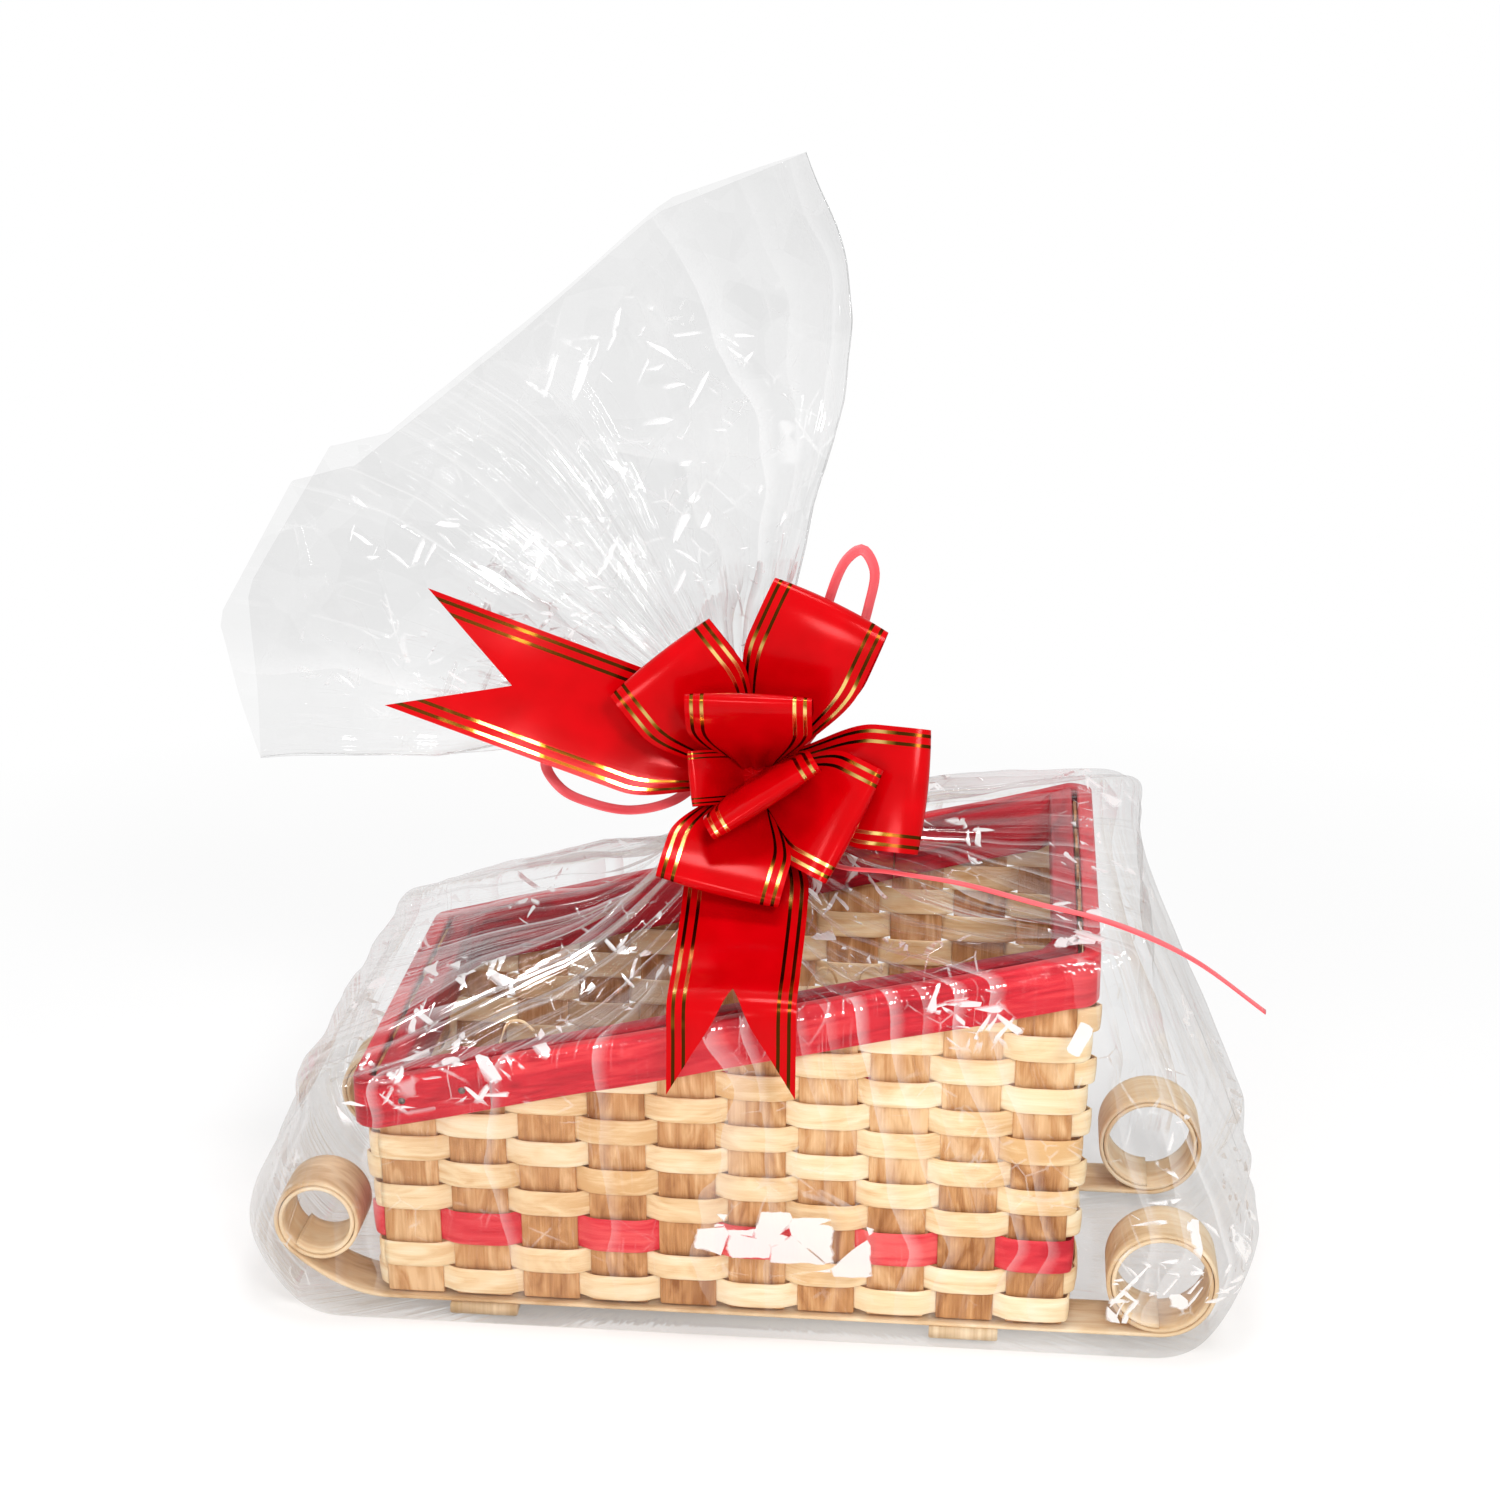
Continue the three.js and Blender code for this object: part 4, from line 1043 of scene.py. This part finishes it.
# Depths of the film's folds, how crumpled it is, and how crackled it is, which sets how much painted
# highlight its creases and slivers carry, as pairs of ring number and value
TENT_PLEATS = ((4, 0), (5, 6), (6, 6), (7, 2), (8, 0))
TENT_FOLDS = ((2, 0), (3, 0.5), (4, 2), (5, 3), (6, 3), (7, 2.5), (8, 2), (9, 1.5), (10, 0))
SKIRT_FOLDS = ((0, 0), (0.4, 0.6), (1, 1.8), (2, 2.2), (3, 2.2), (4, 1.5), (5, 0))
FAN_FOLDS = ((8, 0), (9, 1.5), (10, 2.5), (11, 2.5), (12, 2), (13, 1.2), (14, 0.6), (15, 0.4))
CRUMPLE = (
    (0, 0), (0.4, 0.3), (1, 1), (4, 1), (5, 1.6), (6, 1.6), (7, 1), (8, 0.4), (9, 0.4), (10, 1),
    (11, 1.6), (12, 2), (13, 2), (14, 1.6), (15, 1.3),
)
CRACKLE_HIGHLIGHT = (
    (0, 0), (0.4, 0.1), (1, 0.3), (2, 0.35), (3, 0.4), (4, 0.8), (5, 1), (6, 1), (7, 0.7), (8, 0.4),
    (9, 0.6), (10, 0.9), (12, 0.9), (13, 0.8), (14, 0.6), (15, 0.3),
)

# Painted reflections: patches where the film is painted white as if it mirrored a lamp: middle, half
# width, half height and turn
PAINTED_GLINTS = (((22, -101, 49), 35, 13, 3), ((139, -113, 150), 4, 9, -24))


def rounded_ring(half_x, half_y, radius):
    """Points round a rounded rectangle, from the right, with the same count on every ring."""
    arcs = []
    for quarter, (sx, sy) in enumerate(((1, 1), (-1, 1), (-1, -1), (1, -1))):
        angle = (quarter + np.arange(CORNER_STEPS + 1) / CORNER_STEPS) * pi / 2
        middle = (sx * (half_x - radius), sy * (half_y - radius))
        arcs.append(middle + radius * np.column_stack((np.cos(angle), np.sin(angle))))
    points = []
    for arc, following, steps in zip(arcs, arcs[1:] + arcs[:1], (LONG_STEPS, SHORT_STEPS) * 2):
        points += [arc, mix(arc[-1], following[0], np.arange(1, steps)[:, None] / steps)]
    return np.concatenate(points)


def body_ring(left, right, depth, corner, low, high, rise=0):
    """A ring of the bag that slopes from the low end to the high end and rises towards the back."""
    half = (right - left) / 2
    flat = rounded_ring(half, depth, corner)
    slope = mix(low, high, (flat[:, 0] + half) / (2 * half))
    x, y = flat.T
    return np.column_stack((x + (right + left) / 2, y, slope + rise * y / depth))


def fan_ring(out):
    """A ring of the flared top: a fan of two layers that leans to the low end."""
    ring = rounded_ring(NECK_HALF_WIDTH, NECK_HALF_DEPTH, NECK_CORNER)
    across = ring[:, 0] / NECK_HALF_WIDTH
    share = (1 - across) / 2
    degrees, reaches = np.transpose(MOUTH_CORNERS)
    angle = np.radians(mix(mix(FAN_ROOT_ANGLE, degrees[0], out ** 5), degrees[-1], share))
    ways = np.radians(mix(degrees[0], degrees[-1], share))
    turns = np.radians(degrees)
    start = np.clip(np.searchsorted(turns, ways, side="right") - 1, 0, len(turns) - 2)
    near, far = reaches[start], reaches[start + 1]
    chord = near * np.sin(ways - turns[start]) + far * np.sin(turns[start + 1] - ways)
    reach = near * far * np.sin(turns[start + 1] - turns[start]) / chord * out
    lens = np.sqrt(1 - (0.998 * across) ** 2)
    y = ring[:, 1] / NECK_HALF_DEPTH * mix(NECK_HALF_DEPTH, FAN_HALF_DEPTH, out * out) * lens
    return np.column_stack((np.cos(angle) * reach, y, np.sin(angle) * reach + NECK_Z + 8))


def film_controls():
    """The rings that the bag passes through, from the floor to the mouth."""
    neck = (-NECK_HALF_WIDTH, NECK_HALF_WIDTH, NECK_HALF_DEPTH, NECK_CORNER)
    low_neck = (*neck, NECK_Z - 6, NECK_Z - 6)

    def tent(inwards, upwards, rise, corner):
        sizes = [mix(OVER_RIM[n], low_neck[n], inwards) for n in range(3)]
        levels = [mix(OVER_RIM[n], low_neck[n], upwards) for n in (4, 5)]
        return body_ring(*sizes, corner, *levels, rise)

    rings = [
        body_ring(-180, 197.2, 86, 24, FILM_FLOOR, FILM_FLOOR),
        body_ring(-198, 217.2, 97, 36, 29.5, 41.5),
        body_ring(-192, 209.2, 101, 36, 59.5, 69.5),
        body_ring(-171.3, 170.3, 114.4, 24, 95, 153),
        body_ring(*OVER_RIM),
        tent(0.46, 0.3, 7, 28),
        tent(0.8, 0.55, 5, 18),
        tent(0.985, 0.85, 0, 11),
        body_ring(*low_neck),
        body_ring(*neck, NECK_Z + 6, NECK_Z + 6),
    ]
    return np.array(rings + [fan_ring(out) for out in (0.16, 0.3, 0.48, 0.66, 0.84, 1)])


def film_surface():
    """Points of the smooth bag, and the ring number that each row of them lies on."""
    rings = film_controls()
    rates = np.gradient(rings, axis=0)
    rates[0, :, 2] *= 0.3
    rates[4] *= 0.6
    rates[7:10] *= 0.5
    rows = []
    levels = []
    for ring, steps in enumerate(FILM_STEPS):
        last = ring == len(FILM_STEPS) - 1
        for s in np.arange(steps + last) / steps:
            start = (2 * s ** 3 - 3 * s ** 2 + 1) * rings[ring] + (s ** 3 - 2 * s ** 2 + s) * rates[ring]
            end = (3 * s ** 2 - 2 * s ** 3) * rings[ring + 1] + (s ** 3 - s ** 2) * rates[ring + 1]
            rows.append(start + end)
            levels.append(ring + s)
    return np.array(rows), np.array(levels)


def by_level(levels, stops):
    return np.interp(levels, *np.transpose(stops))[:, None]


def uneven_folds(count, columns, seed):
    """A wave for every column, of folds of uneven widths that close round the ring."""
    dice = random.Random(seed)
    widths = np.array([dice.uniform(0.5, 1.6) for _ in range(count)])
    edges = np.concatenate(([0], np.cumsum(widths))) / widths.sum() * columns
    return zigzag(np.interp(np.arange(columns), edges, np.arange(count + 1)))


def tent_pleats(columns):
    """Depth of the tent's main pleats for every column: fourteen folds, all round."""
    stops = [0]
    for sides, length in ((4, LONG_STEPS), (2, SHORT_STEPS)) * 2:
        stops += [stops[-1] + CORNER_STEPS / 4 * step for step in (1, 2, 3, 4)]
        stops += [stops[-1] + length / sides * step for step in range(1, sides + 1)]
    folds = np.interp(np.arange(columns), stops, np.arange(len(stops)))
    return 1 - zigzag(folds / 2)


def creases(points, seed, size, count):
    """Facets with straight creases between them, from folded waves in several directions."""
    dice = np.random.default_rng(seed)
    bent = points + 0.35 * size * np.sin(points[..., [1, 2, 0]] / size * 1.7 + seed)
    total = np.zeros(points.shape[:2])
    for _ in range(count):
        direction = unit(dice.normal(size=3))
        wave = bent @ direction / (size * dice.uniform(0.8, 1.5)) + dice.uniform(0, 1)
        total += zigzag(wave) - 0.5
    return total / sqrt(count)


def painted_glint_field(rows, normals):
    """How far inside a painted reflection patch each point lies: 1 in its middle, 0 at its edge, less
    outside.
    """
    inside = np.full(rows.shape[:2], -1.0)
    for middle, wide, high, turn in PAINTED_GLINTS:
        away = rows - vec(*middle)
        c, s = cos(radians(turn)), sin(radians(turn))
        along = (c * away[..., 0] + s * away[..., 2]) / wide
        up = (c * away[..., 2] - s * away[..., 0]) / high
        here = 1 - np.maximum(np.abs(along), np.abs(up))
        facing = (normals[..., 1] < -0.5) & (np.abs(away[..., 1]) < 30)
        inside = np.maximum(inside, np.where(facing, here, -1))
    return inside


def point_values(piece, name, values):
    """One number per point of a piece, for its material."""
    layer = piece.data.attributes.new(name, "FLOAT", "POINT")
    layer.data.foreach_set("value", values.astype(np.float32).ravel())


def film_bag():
    """The bag with its closed bottom and open mouth, folded and crumpled out of the smooth shape."""
    rows, levels = film_surface()
    round_it = np.roll(rows, -1, axis=1) - np.roll(rows, 1, axis=1)
    normals = unit(np.cross(round_it, np.gradient(rows, axis=0)))
    columns = rows.shape[1]
    # The painted reflection patches, as one value per point for the film's material
    painted_glint = painted_glint_field(rows, normals)
    steps = np.linalg.norm(np.roll(rows, -1, axis=1) - rows, axis=2)
    steps = sum(np.roll(steps, shift, axis=1) for shift in range(-6, 7)) / 13
    move = np.minimum(by_level(levels, TENT_FOLDS), 10 * steps) * (uneven_folds(26, columns, 3) - 0.8)
    move += by_level(levels, SKIRT_FOLDS) * (uneven_folds(13, columns, 5) - 0.6)
    move += np.minimum(by_level(levels, FAN_FOLDS), 8 * steps) * (uneven_folds(34, columns, 11) - 0.55)
    crumpled = 2.2 * creases(rows, 2, 85, 5) + 0.7 * creases(rows, 4, 34, 4) - 0.3
    move += by_level(levels, CRUMPLE) * crumpled
    rows = rows + normals * move[..., None]
    rows[..., 2] -= by_level(levels, TENT_PLEATS) * tent_pleats(columns)
    rows[..., 2] = np.maximum(rows[..., 2], FILM_FLOOR)
    # Crackle: how much painted highlight the creases and slivers carry, more at the bag's ends
    ends = 0.8 * ease((np.abs(rows[..., 0]) - 145) / 20) * ((levels > 0.5) & (levels < 4))[:, None]
    crackle_highlight = np.maximum(by_level(levels, CRACKLE_HIGHLIGHT), ends)
    floor = np.array([rows[0] * vec(share, share, 1) for share in (0.02, 0.3, 0.6, 0.85)])
    plain = np.zeros(floor.shape[:2])
    rows = np.concatenate((floor, rows))
    faces = grid_faces(len(rows), columns, True)
    faces.append(tuple(range(columns))[::-1])
    along = lengths_along(rows[:, columns * 5 // 8])
    uvs = np.column_stack((np.tile(np.arange(columns) * 2.8, len(rows)), np.repeat(along, columns)))
    shape = rows.reshape(-1, 3), faces, uvs
    film = add_piece("film_bag_film", shape, film_clear, "clear_film", "film_bag")
    point_values(film, "crackle_highlight", np.concatenate((plain, crackle_highlight)))
    point_values(film, "painted_glint", np.concatenate((plain - 1, painted_glint)))


film_bag()


# Bow: its middle and axes, and each loop's name, turn, lean, reach and share of the ribbon's width
BOW_CENTRE = vec(6, -(NECK_HALF_DEPTH + BOW_GAP + CORE_RADIUS), NECK_Z + 2)
BOW_RIGHT = vec(1, 0, 0)
BOW_OUT = vec(0, -cos(BOW_TILT), sin(BOW_TILT))
BOW_UP = vec(0, sin(BOW_TILT), cos(BOW_TILT))
BOW_LOOPS = (
    ("top_right", 66, 22, 80, 1.0), ("top", 90, 60, 57, 1.0), ("upper_left", 130, 28, 66, 1.0),
    ("left", 188, 52, 38, 0.44), ("right", -4, 15, 72, 1.0), ("lower_right", -25, 36, 58, 1.0),
    ("front", -55, 74, 50, 1.0), ("bottom", -102, 39, 62, 1.0),
)
RIBBON_ACROSS = np.linspace(-0.5, 0.5, 33)


def bow_frame(turn, lean):
    """Which way a loop reaches, which way its face looks, and which way its width lies."""
    turn, lean = radians(turn), radians(lean)
    flat = BOW_RIGHT * cos(turn) + BOW_UP * sin(turn)
    reach = flat * cos(lean) + BOW_OUT * sin(lean)
    lift = BOW_OUT * cos(lean) - flat * sin(lean)
    across = BOW_UP * cos(turn) - BOW_RIGHT * sin(turn)
    return reach, lift, across


def ribbon_width(distance, reach, full):
    """A ribbon's width at a distance from the bow's middle, where it is gathered."""
    return mix(ROOT_WIDTH, full, ease((distance - CORE_RADIUS) / (0.6 * reach)))


def ribbon_swell(gather, crown):
    """How far a ribbon stands off its flat: folds where it is gathered, a crown where it is wide."""
    fold = FOLD_DEPTH * gather * (zigzag(3.5 * RIBBON_ACROSS + 0.25) - 0.5)
    return fold + crown * (1 - gather) * (1 - 4 * RIBBON_ACROSS ** 2)


def ribbon_sheet(name, grid, along):
    """A single layer of satin ribbon from its grid of points, and its length."""
    rows, columns = grid.shape[:2]
    along = np.broadcast_to(along, (rows, columns))
    uvs = np.column_stack((along.ravel(), np.tile(RIBBON_ACROSS, rows)))
    shape = grid.reshape(-1, 3), grid_faces(rows, columns, False), uvs
    return add_piece(name + "_satin", shape, bow_satin, "bow_ribbon", name), float(np.ptp(along))


def bow_loop(name, turn, lean, reach, share):
    """A loop of ribbon from the gathered middle, over at its tip and back beside itself."""
    ahead, lift, across = bow_frame(turn, lean)
    angle = np.linspace(LOOP_OPENING, 2 * pi - LOOP_OPENING, 72)
    swing = (1 - np.cos(angle)) / 2
    distance = mix(LOOP_ROOT, reach, (swing - swing[0]) / (1 - swing[0]))
    height = LOOP_HALF_HEIGHT * min(reach / 70, 1) * np.sin(angle) * np.sqrt(swing)
    centres = BOW_CENTRE + distance[:, None] * ahead + height[:, None] * lift
    outs = unit(np.cross(tangents(centres), across))
    full = RIBBON_WIDTH * share
    width = ribbon_width(distance, reach, full)[:, None]
    swell = ribbon_swell(1 - width / full, 1.5 * share * reach / 80)
    grid = centres[:, None] + (width * RIBBON_ACROSS)[..., None] * across
    grid = grid + swell[..., None] * outs[:, None]
    piece, length = ribbon_sheet("bow_loop_" + name, grid, lengths_along(centres)[:, None])


def bow_tail(name, route, across, held):
    """A free tail along its route, gathered at its start, with a swallowtail cut at its end."""
    line = smooth_route(route, 160)
    length = lengths_along(line)
    outs = unit(np.cross(tangents(line), across))
    ends = length[-1] - NOTCH_DEPTH * (1 - 2 * np.abs(RIBBON_ACROSS))
    along = np.linspace(0, 1, 90)[:, None] * ends

    def at(values):
        return np.stack([np.interp(along, length, values[:, axis]) for axis in range(3)], axis=-1)

    width = ribbon_width(CORE_RADIUS + along, length[-1] * 0.5, RIBBON_WIDTH)
    gather = 1 - width / RIBBON_WIDTH
    ripple = 0.5 * np.sin(along / 17 + 3 * RIBBON_ACROSS) * (1 - gather)
    swell = ribbon_swell(gather, 2.0) + ripple
    grid = at(line) + (width * RIBBON_ACROSS)[..., None] * across + swell[..., None] * at(outs)
    piece, full = ribbon_sheet("bow_tail_" + name, grid, along)


def side_tail_route():
    ahead, lift, across = bow_frame(162, 12)
    waves = ((0, 0), (0.3, 1.5), (0.6, 2), (0.8, 1), (1, 0))
    route = [BOW_CENTRE + ahead * mix(LOOP_ROOT, 150, share) + lift * wave for share, wave in waves]
    return route, -across


def front_tail_route():
    """From the bow's middle over the film's front edge and down in front of it."""
    left, right, depth, _, low, high = OVER_RIM
    share = (BOW_CENTRE[0] + RIBBON_WIDTH / 2 - left) / (right - left)
    edge = vec(BOW_CENTRE[0], -depth - 4, mix(low, high, share))
    hang = edge - vec(0, 0, 38)
    route = [BOW_CENTRE + vec(0, -0.55, -0.84) * LOOP_ROOT]
    for share_y, share_z in ((0.2, 0.4), (0.46, 0.72), (0.8, 0.92)):
        route.append(BOW_CENTRE + (edge - BOW_CENTRE) * vec(0, share_y, share_z) + vec(0, 0, 2))
    return route + [edge, mix(edge, hang, 0.5), hang]


def bow_core():
    """The gathered middle of the bow: a knob of tight folds."""
    up = np.linspace(0, pi, CORE_RINGS)
    up, turn = np.meshgrid(up, np.arange(CORE_SIDES) / CORE_SIDES, indexing="ij")
    fold = 0.78 + 0.22 * zigzag(9 * turn + 0.35 * np.cos(up))
    radius = (CORE_RADIUS + 1.5) * mix(1, fold, np.sin(up))
    turn = turn * 2 * pi
    ways = np.cos(turn) * np.sin(up), np.sin(turn) * np.sin(up), 0.8 * np.cos(up)
    ball = np.stack(ways, axis=-1) @ np.array((BOW_RIGHT, BOW_UP, BOW_OUT))
    points = (BOW_CENTRE + radius[..., None] * ball).reshape(-1, 3)
    uvs = np.column_stack((turn.ravel() * 8, 0.1 * np.cos(up).ravel()))
    shape = points, grid_faces(CORE_RINGS, CORE_SIDES, True), uvs
    add_piece("bow_core_satin", shape, bow_satin, "bow_ribbon", "bow_core")


def neck_tie():
    """One turn of tie ribbon round the film's neck."""
    half_width, half_depth = NECK_HALF_WIDTH + NECK_TIE_GAP, NECK_HALF_DEPTH + NECK_TIE_GAP
    ring = rounded_ring(half_width, half_depth, NECK_CORNER + NECK_TIE_GAP / 2)
    line = np.column_stack((ring, np.full(len(ring), NECK_Z)))
    up = vec(0, 0, 1)
    outs = unit(np.cross(tangents(line), up))
    strip = sweep(line, up, outs, flat_section(NECK_TIE_WIDTH, 0.5, 0.3, 0.2))
    add_cord("neck_tie", strip, line[::10])


for loop in BOW_LOOPS:
    bow_loop(*loop)
bow_tail("side", *side_tail_route(), "gathered")
bow_tail("front", front_tail_route(), vec(1, 0, 0), "hung")
bow_core()
neck_tie()


# Stage
FLOOR_HALF = 4.0
FLOOR_LEVEL = -0.0006
WHITE = (1, 1, 1, 1)


def background_rays(tree):
    """1 for the rays that show the background, straight, in a reflection or through clear film."""
    rays = node(tree, "LightPath").outputs
    return most(*(rays[f"Is {kind} Ray"] for kind in ("Camera", "Glossy", "Transmission")))


def make_stage():
    """A pale floor that keeps the hamper's shadow and turns white away from it."""
    material, tree = new_material("floor_paint")
    spot = object_place(tree)
    colour = ramp(noise(spot, 3.0), (0.3, (248, 248, 248)), (0.7, (252, 252, 252)))
    matt = node(tree, "BsdfDiffuse", {"Color": colour})
    white = node(tree, "Emission", {"Color": WHITE, "Strength": 1.0})
    away = node(tree, "VectorMath", {0: spot}, operation="LENGTH").outputs["Value"]
    share = times(background_rays(tree), spread(away, 0.25, 0.8, 0.5, 1.0))
    mesh = bpy.data.meshes.new("floor")
    ends = ((-1, -1), (1, -1), (1, 1), (-1, 1))
    corners = [(x * FLOOR_HALF, y * FLOOR_HALF, FLOOR_LEVEL) for x, y in ends]
    mesh.from_pydata(corners, [], [(0, 1, 2, 3)])
    mesh.materials.append(cover(material, tree, layered(share, matt, white)))
    put("floor", mesh)


def make_world():
    """White where it is seen, and dimmer as a light."""
    world = bpy.data.worlds.new("studio")
    bpy.context.scene.world = world
    world.use_nodes = True
    tree = world.node_tree
    tree.nodes.clear()
    strength = spread(background_rays(tree), 0.0, 1.0, 0.55, 1.0)
    sky = node(tree, "Background", {"Color": WHITE, "Strength": strength})
    node(tree, "OutputWorld", {"Surface": sky.outputs[0]})


def softbox(name, place, target, width, height, power):
    light = bpy.data.lights.new(name, "AREA")
    light.shape = "RECTANGLE"
    light.size = width
    light.size_y = height
    light.energy = power
    back = unit(vec(*place) - vec(*target))
    side = unit(np.cross(vec(0, 0, 1), back))
    stand(put(name, light), side, np.cross(back, side), back, vec(*place))


bpy.context.scene.view_settings.view_transform = "Standard"
make_stage()
make_world()
softbox("key_light", (0.6, -1.55, 1.2), (0, 0, 0.12), 0.35, 0.4, 14)
softbox("fill_light", (-1.2, -1.1, 0.85), (0, 0, 0.12), 0.2, 0.45, 3)
softbox("front_light", (-0.2, -1.75, 0.5), (0, 0, 0.1), 0.35, 0.25, 6)
softbox("top_light", (0.1, -0.4, 1.6), (0, 0, 0.12), 0.45, 0.35, 10)
